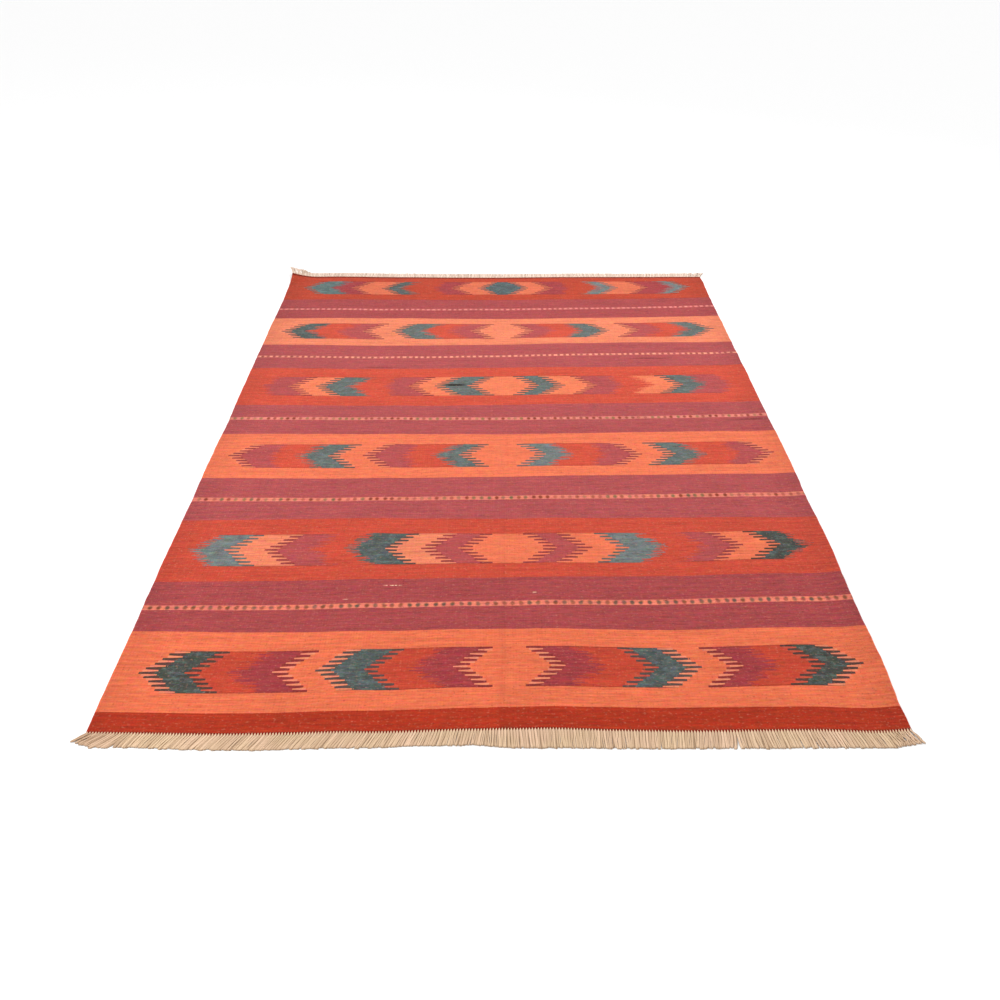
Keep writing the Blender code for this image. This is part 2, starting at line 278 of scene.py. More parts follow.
@dataclass(frozen=True)
class Lie:
    """How the cloth lies on the floor, on the same folds as its solid."""

    crease_across: float = 0.002
    crease_half_width: float = 0.040
    crease_rise: float = 0.0012
    crease_fades_along: float = 1.70
    end_lift_across: float = 0.020
    end_lift_half_width: float = 0.220
    end_lift_reach: float = 0.260
    end_lift_rise: float = 0.0038
    curl_rise: float = 0.0190
    curl_reach: float = 0.110

    def lift(self, across: Places, along: Places) -> Places:
        """Height of the cloth's underside over the floor.

        Args:
            across: places across the cloth.
            along: places along it, of the same shape.

        Returns:
            The height at each place.
        """
        height = np.zeros(np.broadcast(across, along).shape)
        for r in RIPPLES:
            turn = math.radians(r.heading)
            dx, dy = across - r.across, along - r.along
            with_it = dx * math.cos(turn) + dy * math.sin(turn)
            over_it = dy * math.cos(turn) - dx * math.sin(turn)
            height = height + r.rise * hump(with_it, r.length / 2) * hump(over_it, r.half_width)
        height = height + (
            self.crease_rise
            * hump(across - self.crease_across, self.crease_half_width)
            * hump(along, self.crease_fades_along)
        )
        height = height + (
            self.end_lift_rise
            * hump(across - self.end_lift_across, self.end_lift_half_width)
            * hump(along, self.end_lift_reach)
        )
        corner = np.hypot(across + FIELD_WIDTH / 2, FIELD_LENGTH - along)
        return height + self.curl_rise * np.maximum(0.0, 1.0 - corner / self.curl_reach) ** 2

    def place(self, across: Places, along: Places) -> tuple[Places, Places, Places]:
        """Where points of the cloth's underside lie, with its uneven outline.

        Args:
            across: places across the cloth.
            along: places along it, of the same shape.

        Returns:
            Their X, Y and Z.
        """
        sideways, endways = across / FIELD_WIDTH + 0.5, along / FIELD_LENGTH
        seams, ends = column_of(SELVEDGES, "along"), column_of(WOVEN_ENDS, "across")
        left = -curve_through(seams, column_of(SELVEDGES, "left"), along)
        right = curve_through(seams, column_of(SELVEDGES, "right"), along)
        near = curve_through(ends, column_of(WOVEN_ENDS, "near"), across)
        far = curve_through(ends, column_of(WOVEN_ENDS, "far"), across)
        return (
            across + left * (1.0 - sideways) + right * sideways,
            along + near * (1.0 - endways) + far * endways - ALONG_AT_ORIGIN,
            self.lift(across, along),
        )

    def draft_grid(self, columns: Places, rows: Places) -> Places:
        """Where the crossings of a grid of lines lie in the weaver's drawing.

        Args:
            columns: the lines' places across.
            rows: the lines' places along.

        Returns:
            The place along in the draft, for each column and row.
        """
        drafts = column_of(DRIFTS, "draft")
        millimetres = [curve_through(DRIFT_STATIONS, np.array(row[1:], float), columns) for row in DRIFTS]
        grid = np.empty((len(columns), len(rows)))
        for i, drifts in enumerate(np.array(millimetres).T / 1000.0):
            # Three rounds settle which place in the draft each row drifted from.
            draft = rows
            for _ in range(3):
                draft = rows - curve_through(drafts, drifts, draft)
            grid[i] = draft
        return grid


# ---------------------------------------------------------------- the weaver's drawing
class Yarn(Enum):
    """The dyed wool yarns, each by the colour that it has in the wool."""

    BORDER_RED = "#9A2D17"
    RED_DEEP = "#AC3D2A"
    RED = "#B1412F"
    RED_BRIGHT = "#B64431"
    RED_FAR = "#A33924"
    RED_END = "#74200F"
    PLUM_DARK = "#8E3437"
    PLUM = "#933D3E"
    PLUM_ROSE = "#9A4445"
    PLUM_MOTIF = "#9D4343"
    ORANGE = "#CD6342"
    ORANGE_CORAL = "#D06747"
    ORANGE_MOTIF = "#D16D4B"
    ORANGE_PALE = "#D07354"
    ORANGE_FAR = "#C26144"
    TEAL_BROWN = "#3D3F3A"
    TEAL_SMOKE = "#474E4C"
    TEAL = "#565D5A"
    TEAL_GREY = "#646A69"
    TEAL_BLUE = "#4F6160"
    TEAL_SLATE = "#445052"


class TurnStyle(Enum):
    """How the weaver turned two yarns back against each other, as (rake, comb, hatch)."""

    LONG_COMB = (1.0, 0.035, 0.0)
    COMB = (1.0, 0.032, 0.0)
    SHORT_COMB = (1.0, 0.028, 0.0)
    HATCHED = (1.0, 0.0, 0.045)
    STEEP_HATCHED = (0.5, 0.0, 0.035)

    def __init__(self, rake: float, comb: float, hatch: float) -> None:
        """Names the style's three measures.

        Args:
            rake: how much of a full diagonal the edge has.
            comb: how long the teeth are.
            hatch: how wide a soft edge is, where each weft turns back at another warp.
        """
        self.rake, self.comb, self.hatch = rake, comb, hatch


class Stripe(NamedTuple):
    """One full-width stripe of ground, up to a place in the draft."""

    until: float
    yarn: Yarn


class Turn(NamedTuple):
    """A change of yarn in a chevron, by how far its tip is from the motifs' centre line."""

    reach: float
    yarn: Yarn
    style: TurnStyle


class DottedLine(NamedTuple):
    """A narrow line of light yarn with two yarns by turns in its dots, and how full the dots are."""

    draft: float
    half_height: float
    light: str
    dot: str
    other_dot: str
    least: float
    most: float


class SlipOrShadow(NamedTuple):
    """A short run of another colour: a slipped yarn, a warp that shows, or a painted shadow of a ripple.

    The dash is how wide the dashes are that it is broken into, in millimetres, and 0 leaves it whole.
    """

    across: float
    draft: float
    half_length: float
    half_height: float
    colour: str
    strength: float = 1.0
    dash: float = 0.0


@dataclass(frozen=True)
class ChevronBand:
    """One band of comb-edged chevrons, which point away from the centre line on both sides.

    It also gives how much the ground's yarn is paled in the gaps between the combs' teeth.
    """

    middle: float
    gap_paling: float
    ground: Yarn
    heart: Yarn
    left: tuple[Turn, ...]
    right: tuple[Turn, ...]
    rows_each_way: int = 9


STRIPES = (
    Stripe(until=0.060, yarn=Yarn.BORDER_RED),
    Stripe(until=0.306, yarn=Yarn.ORANGE),
    Stripe(until=0.495, yarn=Yarn.PLUM),
    Stripe(until=0.748, yarn=Yarn.RED),
    Stripe(until=0.952, yarn=Yarn.PLUM_ROSE),
    Stripe(until=1.194, yarn=Yarn.ORANGE_CORAL),
    Stripe(until=1.379, yarn=Yarn.PLUM_ROSE),
    Stripe(until=1.634, yarn=Yarn.RED_BRIGHT),
    Stripe(until=1.828, yarn=Yarn.PLUM_ROSE),
    Stripe(until=2.057, yarn=Yarn.ORANGE_PALE),
    Stripe(until=2.241, yarn=Yarn.PLUM),
    Stripe(until=2.456, yarn=Yarn.RED_FAR),
    Stripe(until=2.472, yarn=Yarn.RED_END),
)

DOTTED_LINES = (
    DottedLine(
        draft=0.397, half_height=0.0090, least=0.66, most=0.95,
        light="#D0705A", dot="#50463A", other_dot="#6E3E2A",
    ),
    DottedLine(
        draft=0.845, half_height=0.0090, least=0.45, most=0.95,
        light="#CC725E", dot="#66583A", other_dot="#7A3222",
    ),
    DottedLine(
        draft=1.288, half_height=0.0085, least=0.55, most=0.98,
        light="#C97566", dot="#7E3424", other_dot="#80603C",
    ),
    DottedLine(
        draft=1.732, half_height=0.0070, least=0.85, most=1.00,
        light="#D88670", dot="#94403F", other_dot="#8E443A",
    ),
    DottedLine(
        draft=2.143, half_height=0.0070, least=0.65, most=1.00,
        light="#CC766E", dot="#963E3F", other_dot="#9C4A44",
    ),
)

SLIPS_AND_SHADOWS = (
    SlipOrShadow(across=-0.145, draft=1.5095, half_length=0.048, half_height=0.0100, colour="#1A120C"),
    SlipOrShadow(across=-0.262, draft=0.471, half_length=0.025, half_height=0.0022, colour="#DCAC94", dash=5.88),
    SlipOrShadow(across=-0.370, draft=0.421, half_length=0.007, half_height=0.0022, colour="#C88A78", strength=0.8),
    SlipOrShadow(across=0.084, draft=0.435, half_length=0.006, half_height=0.0030, colour="#D09884", strength=0.9),
    # Painted shadows of the ripples.
    SlipOrShadow(across=-0.400, draft=1.646, half_length=0.060, half_height=0.0050, colour="#6E2422", strength=0.6),
    SlipOrShadow(across=0.530, draft=1.694, half_length=0.080, half_height=0.0070, colour="#6A2024", strength=0.6),
    SlipOrShadow(across=0.790, draft=1.262, half_length=0.070, half_height=0.0090, colour="#641E22", strength=0.6),
)

CHEVRON_BANDS = (
    ChevronBand(
        middle=0.182,
        gap_paling=0.30,
        ground=Yarn.ORANGE,
        heart=Yarn.ORANGE,
        left=(
            Turn(0.104, Yarn.PLUM_DARK, TurnStyle.COMB),
            Turn(0.186, Yarn.RED_DEEP, TurnStyle.HATCHED),
            Turn(0.302, Yarn.TEAL_SMOKE, TurnStyle.SHORT_COMB),
            Turn(0.407, Yarn.ORANGE, TurnStyle.LONG_COMB),
            Turn(0.500, Yarn.PLUM_DARK, TurnStyle.COMB),
            Turn(0.580, Yarn.RED_DEEP, TurnStyle.HATCHED),
            Turn(0.691, Yarn.TEAL_BROWN, TurnStyle.SHORT_COMB),
            Turn(0.791, Yarn.ORANGE, TurnStyle.LONG_COMB),
        ),
        right=(
            Turn(0.147, Yarn.PLUM_DARK, TurnStyle.COMB),
            Turn(0.225, Yarn.RED_DEEP, TurnStyle.HATCHED),
            Turn(0.350, Yarn.TEAL_SMOKE, TurnStyle.SHORT_COMB),
            Turn(0.445, Yarn.ORANGE, TurnStyle.LONG_COMB),
            Turn(0.539, Yarn.PLUM_DARK, TurnStyle.COMB),
            Turn(0.606, Yarn.RED_DEEP, TurnStyle.HATCHED),
            Turn(0.718, Yarn.TEAL_BROWN, TurnStyle.SHORT_COMB),
            Turn(0.802, Yarn.ORANGE, TurnStyle.COMB),
        ),
    ),
    ChevronBand(
        middle=0.615,
        gap_paling=0.26,
        ground=Yarn.RED,
        heart=Yarn.ORANGE_CORAL,
        left=(
            Turn(0.108, Yarn.PLUM_MOTIF, TurnStyle.COMB),
            Turn(0.203, Yarn.ORANGE_PALE, TurnStyle.COMB),
            Turn(0.298, Yarn.TEAL_SMOKE, TurnStyle.SHORT_COMB),
            Turn(0.390, Yarn.RED, TurnStyle.HATCHED),
            Turn(0.482, Yarn.PLUM_MOTIF, TurnStyle.HATCHED),
            Turn(0.603, Yarn.ORANGE_PALE, TurnStyle.COMB),
            Turn(0.705, Yarn.TEAL_GREY, TurnStyle.COMB),
            Turn(0.785, Yarn.RED, TurnStyle.HATCHED),
        ),
        right=(
            Turn(0.148, Yarn.PLUM_MOTIF, TurnStyle.COMB),
            Turn(0.234, Yarn.ORANGE_CORAL, TurnStyle.COMB),
            Turn(0.331, Yarn.TEAL_GREY, TurnStyle.SHORT_COMB),
            Turn(0.420, Yarn.RED, TurnStyle.HATCHED),
            Turn(0.522, Yarn.PLUM_MOTIF, TurnStyle.HATCHED),
            Turn(0.627, Yarn.ORANGE_CORAL, TurnStyle.COMB),
            Turn(0.721, Yarn.TEAL_BROWN, TurnStyle.SHORT_COMB),
            Turn(0.787, Yarn.RED, TurnStyle.HATCHED),
        ),
    ),
    ChevronBand(
        middle=1.069,
        gap_paling=0.18,
        ground=Yarn.ORANGE_CORAL,
        heart=Yarn.ORANGE_CORAL,
        left=(
            Turn(0.120, Yarn.TEAL, TurnStyle.COMB),
            Turn(0.185, Yarn.RED_BRIGHT, TurnStyle.HATCHED),
            Turn(0.277, Yarn.PLUM_MOTIF, TurnStyle.STEEP_HATCHED),
            Turn(0.404, Yarn.ORANGE_CORAL, TurnStyle.COMB),
            Turn(0.505, Yarn.TEAL, TurnStyle.COMB),
            Turn(0.588, Yarn.RED_BRIGHT, TurnStyle.HATCHED),
            Turn(0.673, Yarn.PLUM_MOTIF, TurnStyle.STEEP_HATCHED),
            Turn(0.798, Yarn.ORANGE_CORAL, TurnStyle.COMB),
        ),
        right=(
            Turn(0.140, Yarn.TEAL_GREY, TurnStyle.COMB),
            Turn(0.210, Yarn.RED_BRIGHT, TurnStyle.HATCHED),
            Turn(0.306, Yarn.PLUM_MOTIF, TurnStyle.STEEP_HATCHED),
            Turn(0.421, Yarn.ORANGE_CORAL, TurnStyle.COMB),
            Turn(0.521, Yarn.TEAL, TurnStyle.COMB),
            Turn(0.598, Yarn.RED_BRIGHT, TurnStyle.HATCHED),
            Turn(0.700, Yarn.PLUM_MOTIF, TurnStyle.STEEP_HATCHED),
            Turn(0.811, Yarn.ORANGE_CORAL, TurnStyle.COMB),
        ),
    ),
    ChevronBand(
        middle=1.505,
        gap_paling=0.16,
        ground=Yarn.RED_BRIGHT,
        heart=Yarn.ORANGE_MOTIF,
        left=(
            Turn(0.103, Yarn.TEAL, TurnStyle.COMB),
            Turn(0.215, Yarn.ORANGE_MOTIF, TurnStyle.COMB),
            Turn(0.302, Yarn.PLUM_MOTIF, TurnStyle.COMB),
            Turn(0.372, Yarn.RED_BRIGHT, TurnStyle.STEEP_HATCHED),
            Turn(0.490, Yarn.TEAL, TurnStyle.HATCHED),
            Turn(0.608, Yarn.ORANGE_MOTIF, TurnStyle.COMB),
            Turn(0.700, Yarn.PLUM_MOTIF, TurnStyle.COMB),
            Turn(0.775, Yarn.RED_BRIGHT, TurnStyle.STEEP_HATCHED),
        ),
        right=(
            Turn(0.138, Yarn.TEAL, TurnStyle.COMB),
            Turn(0.222, Yarn.ORANGE_MOTIF, TurnStyle.COMB),
            Turn(0.330, Yarn.PLUM_MOTIF, TurnStyle.SHORT_COMB),
            Turn(0.405, Yarn.RED_BRIGHT, TurnStyle.STEEP_HATCHED),
            Turn(0.508, Yarn.ORANGE_MOTIF, TurnStyle.HATCHED),
            Turn(0.620, Yarn.TEAL, TurnStyle.COMB),
            Turn(0.693, Yarn.PLUM_MOTIF, TurnStyle.HATCHED),
            Turn(0.775, Yarn.RED_BRIGHT, TurnStyle.STEEP_HATCHED),
        ),
    ),
    ChevronBand(
        middle=1.942,
        gap_paling=0.12,
        ground=Yarn.ORANGE_PALE,
        heart=Yarn.ORANGE_PALE,
        left=(
            Turn(0.100, Yarn.PLUM_MOTIF, TurnStyle.COMB),
            Turn(0.180, Yarn.RED_BRIGHT, TurnStyle.HATCHED),
            Turn(0.272, Yarn.TEAL, TurnStyle.HATCHED),
            Turn(0.392, Yarn.ORANGE_PALE, TurnStyle.COMB),
            Turn(0.500, Yarn.PLUM_MOTIF, TurnStyle.COMB),
            Turn(0.585, Yarn.RED_BRIGHT, TurnStyle.HATCHED),
            Turn(0.694, Yarn.TEAL_SMOKE, TurnStyle.HATCHED),
            Turn(0.799, Yarn.ORANGE_PALE, TurnStyle.COMB),
        ),
        right=(
            Turn(0.138, Yarn.PLUM_MOTIF, TurnStyle.COMB),
            Turn(0.210, Yarn.RED_BRIGHT, TurnStyle.HATCHED),
            Turn(0.312, Yarn.TEAL, TurnStyle.HATCHED),
            Turn(0.418, Yarn.ORANGE_PALE, TurnStyle.COMB),
            Turn(0.530, Yarn.PLUM_MOTIF, TurnStyle.COMB),
            Turn(0.608, Yarn.RED_BRIGHT, TurnStyle.HATCHED),
            Turn(0.702, Yarn.TEAL, TurnStyle.HATCHED),
            Turn(0.804, Yarn.ORANGE_PALE, TurnStyle.SHORT_COMB),
        ),
    ),
    ChevronBand(
        middle=2.354,
        gap_paling=0.10,
        ground=Yarn.RED_FAR,
        heart=Yarn.TEAL_SLATE,
        left=(
            Turn(0.078, Yarn.ORANGE_FAR, TurnStyle.SHORT_COMB),
            Turn(0.184, Yarn.PLUM_DARK, TurnStyle.SHORT_COMB),
            Turn(0.246, Yarn.RED_FAR, TurnStyle.STEEP_HATCHED),
            Turn(0.385, Yarn.TEAL_SMOKE, TurnStyle.HATCHED),
            Turn(0.468, Yarn.ORANGE_FAR, TurnStyle.SHORT_COMB),
            Turn(0.590, Yarn.PLUM_DARK, TurnStyle.SHORT_COMB),
            Turn(0.665, Yarn.TEAL_BLUE, TurnStyle.HATCHED),
            Turn(0.784, Yarn.RED_FAR, TurnStyle.SHORT_COMB),
        ),
        right=(
            Turn(0.130, Yarn.ORANGE_FAR, TurnStyle.SHORT_COMB),
            Turn(0.226, Yarn.PLUM_DARK, TurnStyle.SHORT_COMB),
            Turn(0.288, Yarn.RED_FAR, TurnStyle.STEEP_HATCHED),
            Turn(0.416, Yarn.TEAL_GREY, TurnStyle.HATCHED),
            Turn(0.494, Yarn.ORANGE_FAR, TurnStyle.SHORT_COMB),
            Turn(0.616, Yarn.PLUM_DARK, TurnStyle.SHORT_COMB),
            Turn(0.716, Yarn.TEAL_GREY, TurnStyle.HATCHED),
            Turn(0.786, Yarn.RED_FAR, TurnStyle.SHORT_COMB),
        ),
    ),
)


# ---------------------------------------------------------------- node graphs
def linear(hex_colour: str) -> tuple[float, float, float, float]:
    """A colour's linear values.

    Args:
        hex_colour: the colour in sRGB, such as "#CC6440".

    Returns:
        Red, green and blue in linear light, and an alpha of 1.
    """
    parts = [int(hex_colour[i : i + 2], 16) / 255.0 for i in (1, 3, 5)]
    red, green, blue = (p / 12.92 if p <= 0.04045 else ((p + 0.055) / 1.055) ** 2.4 for p in parts)
    return red, green, blue, 1.0


def brightness(yarn: Yarn) -> float:
    """How bright a yarn looks, from 0 to 1."""
    red, green, blue, _ = linear(yarn.value)
    return 0.2126 * red + 0.7152 * green + 0.0722 * blue


def blend(first: str, second: str, share: float) -> tuple[float, ...]:
    """Mixes two colours in linear light.

    Args:
        first: one colour in sRGB.
        second: the other.
        share: how much of the second there is.

    Returns:
        The mix, in linear light.
    """
    return tuple(a + (b - a) * share for a, b in zip(linear(first), linear(second)))


def add_node(
    tree: bpy.types.NodeTree,
    kind: str,
    *sources: Source,
    inputs: dict[str, Source] | None = None,
    **settings: object,
) -> bpy.types.Node:
    """Adds a shader node with its settings and links.

    Args:
        tree: the material's node tree.
        kind: the node's type without its "ShaderNode".
        sources: what goes into its open inputs, in order: a value, a socket, or a node, which stands
            for its first open output.
        inputs: the same by the inputs' names.
        settings: the node's options.

    Returns:
        The node.
    """
    node = tree.nodes.new("ShaderNode" + kind)
    for name, value in settings.items():
        setattr(node, name, value)
    pairs = list(zip([i for i in node.inputs if i.enabled], sources))
    pairs += [(node.inputs[name], source) for name, source in (inputs or {}).items()]
    for socket, source in pairs:
        if isinstance(source, bpy.types.Node):
            source = next(o for o in source.outputs if o.enabled)
        if isinstance(source, bpy.types.NodeSocket):
            tree.links.new(source, socket)
        else:
            socket.default_value = source
    return node


# ---------------------------------------------------------------- finishes
class Grain(NamedTuple):
    """Cloudy unevenness, by how wide and how high its clouds are in millimetres.

    The detail is how many times finer clouds are added, and the roughness how strong those are.
    """

    width: float
    height: float
    detail: float
    roughness: float


class Fleck(NamedTuple):
    """Clouds of another colour: where in their grain they start and are full, and how strong they are.

    The shift is how many clouds along the grain is read, so that flecks of one grain differ.
    """

    grain: Grain
    start: float
    full: float
    strength: float
    colour: str
    shift: float = 0.0


class Tone(NamedTuple):
    """A grain by which the wool's brightness varies, in the dye and in the ribs' painted light, and how
    much of it that is.
    """

    grain: Grain
    share: float


@dataclass(frozen=True)
class LoomPlace:
    """A point of the cloth in a node tree: its place across and in the draft, and its weft's number."""

    tree: bpy.types.NodeTree
    across: Source
    draft: Source
    weft: Source


@dataclass(frozen=True)
class BandRows:
    """The rows of one band of chevrons, as the material measures them.

    The beat is the place from the band's middle in rows, and the distance the same in whole rows. The
    diagonals, by their rake, are how far out a point is, with what its row's slope adds. The turns are
    the same with the teeth or the soft edge, by the style and whether the darker yarn is inside.
    """

    beat: bpy.types.Node
    distance: bpy.types.Node
    diagonals: dict[float, bpy.types.Node]
    turns: dict[tuple[TurnStyle, bool], bpy.types.Node]


@dataclass(frozen=True)
class WoolWeft:
    """Hand-spun, pot-dyed sheep's wool, woven weft-faced in slit tapestry.

    The warps are packed out of sight, so all that shows is matt wool in fine ribs. Each spinning and
    each dye lot took the dye a little differently, which gives the streaks along the wefts.
    """

    roughness: float = 0.95
    sheen: float = 0.04
    sheen_roughness: float = 0.45
    specular: float = 0.08

    # The chevrons: the slope of their edges, how unevenly the rows turn, and the slits' shadows.
    rake_per_row: float = 0.0064
    turn_block: float = 0.105
    turn_scatter: float = 0.003
    slit_shadow: str = "#5A1E14"
    tooth_shade: float = 0.42
    rim_shade: float = 0.35
    rim_contrast: float = 0.03
    gap_pale: str = "#D89A80"
    inner_gap_paling: float = 0.06

    # The dotted lines: their dots, which scatter by a share of their pitch and are full by chance, and
    # the rose that the light yarn blushes to here and there.
    dot_pitch: float = 0.0205
    dot_half_width: float = 0.0056
    dot_half_height: float = 0.0078
    dot_core: float = 0.60
    dot_reach: float = 1.30
    dot_scatter: float = 0.09
    dot_chance: float = 0.8
    other_dots: float = 0.45
    fading: Grain = Grain(width=154, height=270, detail=1, roughness=0.5)
    blush: Grain = Grain(width=18.2, height=71.4, detail=1, roughness=0.6)
    blush_share: float = 0.55
    blush_rose: str = "#C2605E"
    rose_share: float = 0.6

    # The teals were dyed twice, and run from blue-grey through green to brown.
    teal_grain: Grain = Grain(width=33.3, height=16.7, detail=5, roughness=0.85)
    teal_flecks: tuple[Fleck, ...] = (
        Fleck(teal_grain, start=0.48, full=0.74, strength=0.34, colour="#84989A"),
        Fleck(teal_grain, start=0.50, full=0.76, strength=0.34, colour="#4E7468", shift=438),
        Fleck(teal_grain, start=0.48, full=0.72, strength=0.50, colour="#302820", shift=186),
    )
    # Only the teals have no more red in them than this many times their green.
    teal_limit: float = 1.4

    # The dye: streaks of the dye lots along the wefts, heather in the hand-spun wool and broad clouds, and
    # then painted light on ribs where the warps are packed tighter, so that the wefts bulge and catch more
    # light. Each weft is its own lot as well.
    tones: tuple[Tone, ...] = (
        Tone(Grain(width=286, height=9.1, detail=3, roughness=0.6), share=0.40),
        Tone(Grain(width=62.5, height=5.26, detail=4, roughness=0.85), share=0.80),
        Tone(Grain(width=167, height=62.5, detail=3, roughness=0.55), share=0.20),
        # Painted light on the ribs, which catch more light where the wefts bulge.
        Tone(Grain(width=6.67, height=83.3, detail=2, roughness=0.7), share=0.18),
    )
    lot_share: float = 0.09
    carded: Grain = Grain(width=29.4, height=5.56, detail=3, roughness=0.8)
    carded_share: float = 0.60
    # Loose fibres stand off the yarn here and there and look paler. Knots of dark wool are spun in.
    loose_fibres: Fleck = Fleck(
        Grain(width=9.09, height=4.76, detail=1, roughness=0.7),
        start=0.62,
        full=0.84,
        strength=0.20,
        colour="#DC9C80",
    )
    dark_knots: Fleck = Fleck(
        Grain(width=6.67, height=4.76, detail=0, roughness=0.5),
        start=0.76,
        full=0.84,
        strength=0.30,
        colour="#5A1C14",
    )

    # Painted shade darkens the outer stretch by each selvedge, and each weft is stretched round the
    # outermost warp.
    edge_shade_reach: float = 0.090
    edge_shade_tone: float = 0.86
    loop_start: float = 0.0042
    loop_full: float = 0.0022
    loop_tone: float = 0.45
    # Painted shade draws a soft dark line down the middle, along the crease from folding it for storing,
    # strongest at the near end.
    crease_shade_across: float = 0.008
    crease_shade_core: float = 0.002
    crease_shade_reach: float = 0.016
    crease_shade_tone: float = 0.07
    crease_shade_fades_from: float = 0.3
    crease_shade_gone_at: float = 1.3

    # The warps that show between the last loose wefts of each end, as wide as this share of their pitch to
    # each side, and the painted shade on the wool beside them.
    root_reach: float = 0.0060
    root_half_width: float = 0.36
    root_cotton: str = "#D8B898"
    root_shadow: str = "#5A160C"
    root_shade: float = 0.75

    # The relief: ribs that dip between the warps, and the yarn's own unevenness.
    dip_share: float = 0.7
    uneven: Grain = Grain(width=16.7, height=5.56, detail=2, roughness=0.6)
    uneven_share: float = 1.6
    relief_height: float = 0.0005
    relief_strength: float = 0.8

    def material(self) -> bpy.types.Material:
        """Builds the wool's material.

        Returns:
            A material that draws the whole pattern from the cloth's "Loom" map.
        """
        material = bpy.data.materials.new("handspun_wool_weft")
        material.use_nodes = True
        tree = material.node_tree
        loom = add_node(tree, "SeparateXYZ", add_node(tree, "UVMap", uv_map="Loom"))
        weft = add_node(tree, "Math", loom.outputs["Y"], 2.0 / WEFT_PITCH, operation="MULTIPLY")
        weft = add_node(tree, "Math", weft, operation="FLOOR")
        at = LoomPlace(tree=tree, across=loom.outputs["X"], draft=loom.outputs["Y"], weft=weft)

        colour = self.stripes(at)
        for band in CHEVRON_BANDS:
            colour = self.chevrons(at, band, colour)
        colour = self.teal_patches(at, colour)
        colour = self.dotted_lines(at, colour)
        colour = self.slips_and_shadows(at, colour)
        colour = self.dyed(at, colour)
        colour = self.warps_at_ends(at, colour)
        bump = self.weave_relief(at)
        shader = tree.nodes["Principled BSDF"]
        shader.inputs["Roughness"].default_value = self.roughness
        shader.inputs["Specular IOR Level"].default_value = self.specular
        shader.inputs["Sheen Weight"].default_value = self.sheen
        shader.inputs["Sheen Roughness"].default_value = self.sheen_roughness
        tree.links.new(next(o for o in colour.outputs if o.enabled), shader.inputs["Base Color"])
        tree.links.new(bump.outputs["Normal"], shader.inputs["Normal"])
        return material

    def clouds(self, at: LoomPlace, grain: Grain, shift: float = 0.0) -> bpy.types.Node:
        """Adds cloudy noise.

        Args:
            at: the place on the cloth.
            grain: the clouds' size and fineness.
            shift: how many clouds along the noise is read.

        Returns:
            The node whose "Fac" is the noise, from 0 to 1, and whose "Color" is one noise a channel.
        """
        across = add_node(at.tree, "Math", at.across, 1000.0 / grain.width, operation="MULTIPLY")
        along = add_node(
            at.tree, "Math", at.draft, 1000.0 / grain.height, shift, operation="MULTIPLY_ADD"
        )
        place = add_node(at.tree, "CombineXYZ", across, along, 0.0)
        return add_node(
            at.tree, "TexNoise", place, 1.0, grain.detail, grain.roughness, noise_dimensions="2D"
        )

    def flecked(
        self, at: LoomPlace, fleck: Fleck, colour: Source, within: Source = 1.0
    ) -> bpy.types.Node:
        """Lets clouds of another colour into the wool.

        Args:
            at: the place on the cloth.
            fleck: the clouds.
            colour: the colour so far.
            within: 1 where they may show, and 0 elsewhere.

        Returns:
            The node whose output is the colour with them in it.
        """
        noise = self.clouds(at, fleck.grain, fleck.shift).outputs["Fac"]
        share = add_node(at.tree, "MapRange", noise, fleck.start, fleck.full, 0.0, fleck.strength)
        share = add_node(at.tree, "Math", share, within, operation="MULTIPLY")
        return add_node(at.tree, "Mix", share, colour, linear(fleck.colour), data_type="RGBA")

    def stripes(self, at: LoomPlace) -> bpy.types.Node:
        """Draws the full-width stripes of ground.

        Args:
            at: the place on the cloth.

        Returns:
            The node whose output is the ground's colour.
        """
        colour = linear(STRIPES[0].yarn.value)
        for stripe, following in zip(STRIPES, STRIPES[1:]):
            past = add_node(at.tree, "Math", at.draft, stripe.until, operation="GREATER_THAN")
            colour = add_node(at.tree, "Mix", past, colour, linear(following.yarn.value), data_type="RGBA")
        return colour

    def band_rows(self, at: LoomPlace, band: ChevronBand) -> BandRows:
        """Measures a band of chevrons row by row, as it was woven.

        Args:
            at: the place on the cloth.
            band: the band to measure.

        Returns:
            The rows' nodes.
        """
        tree = at.tree
        beat = add_node(tree, "Math", at.draft, -band.middle, operation="ADD")
        beat = add_node(tree, "Math", beat, 1.0 / ROW_PITCH, operation="MULTIPLY")
        row = add_node(tree, "Math", beat, operation="ROUND")
        distance = add_node(tree, "Math", row, operation="ABSOLUTE")
        # 0 on the rows that are tips and 1 between them, sloping, so that the teeth taper. The teeth of
        # the darker yarn are the thicker ones, whether they point outward or inward.
        odd = add_node(tree, "Math", beat, 1.0, operation="PINGPONG")
        outward = add_node(tree, "MapRange", odd, 0.44, 0.72, 0.0, 1.0)
        inward = add_node(tree, "MapRange", odd, 0.28, 0.56, 0.0, 1.0)

        # No two rows turn at quite the same warp.
        block = add_node(tree, "Math", at.across, 1.0 / self.turn_block, operation="MULTIPLY")
        block = add_node(tree, "Math", block, operation="FLOOR")
        cell = add_node(tree, "CombineXYZ", block, row, 0.0)
        scatter = add_node(tree, "TexWhiteNoise", cell, noise_dimensions="2D").outputs["Value"]
        scatter = add_node(
            tree, "Math", scatter, 2.0 * self.turn_scatter, -self.turn_scatter, operation="MULTIPLY_ADD"
        )
        spread = add_node(tree, "Math", at.across, operation="ABSOLUTE")
        spread = add_node(tree, "Math", spread, scatter, operation="ADD")
        cell = add_node(tree, "CombineXYZ", block, at.weft, 0.0)
        fray = add_node(tree, "TexWhiteNoise", cell, noise_dimensions="2D").outputs["Value"]
        fray = add_node(tree, "Math", fray, -0.5, operation="ADD")

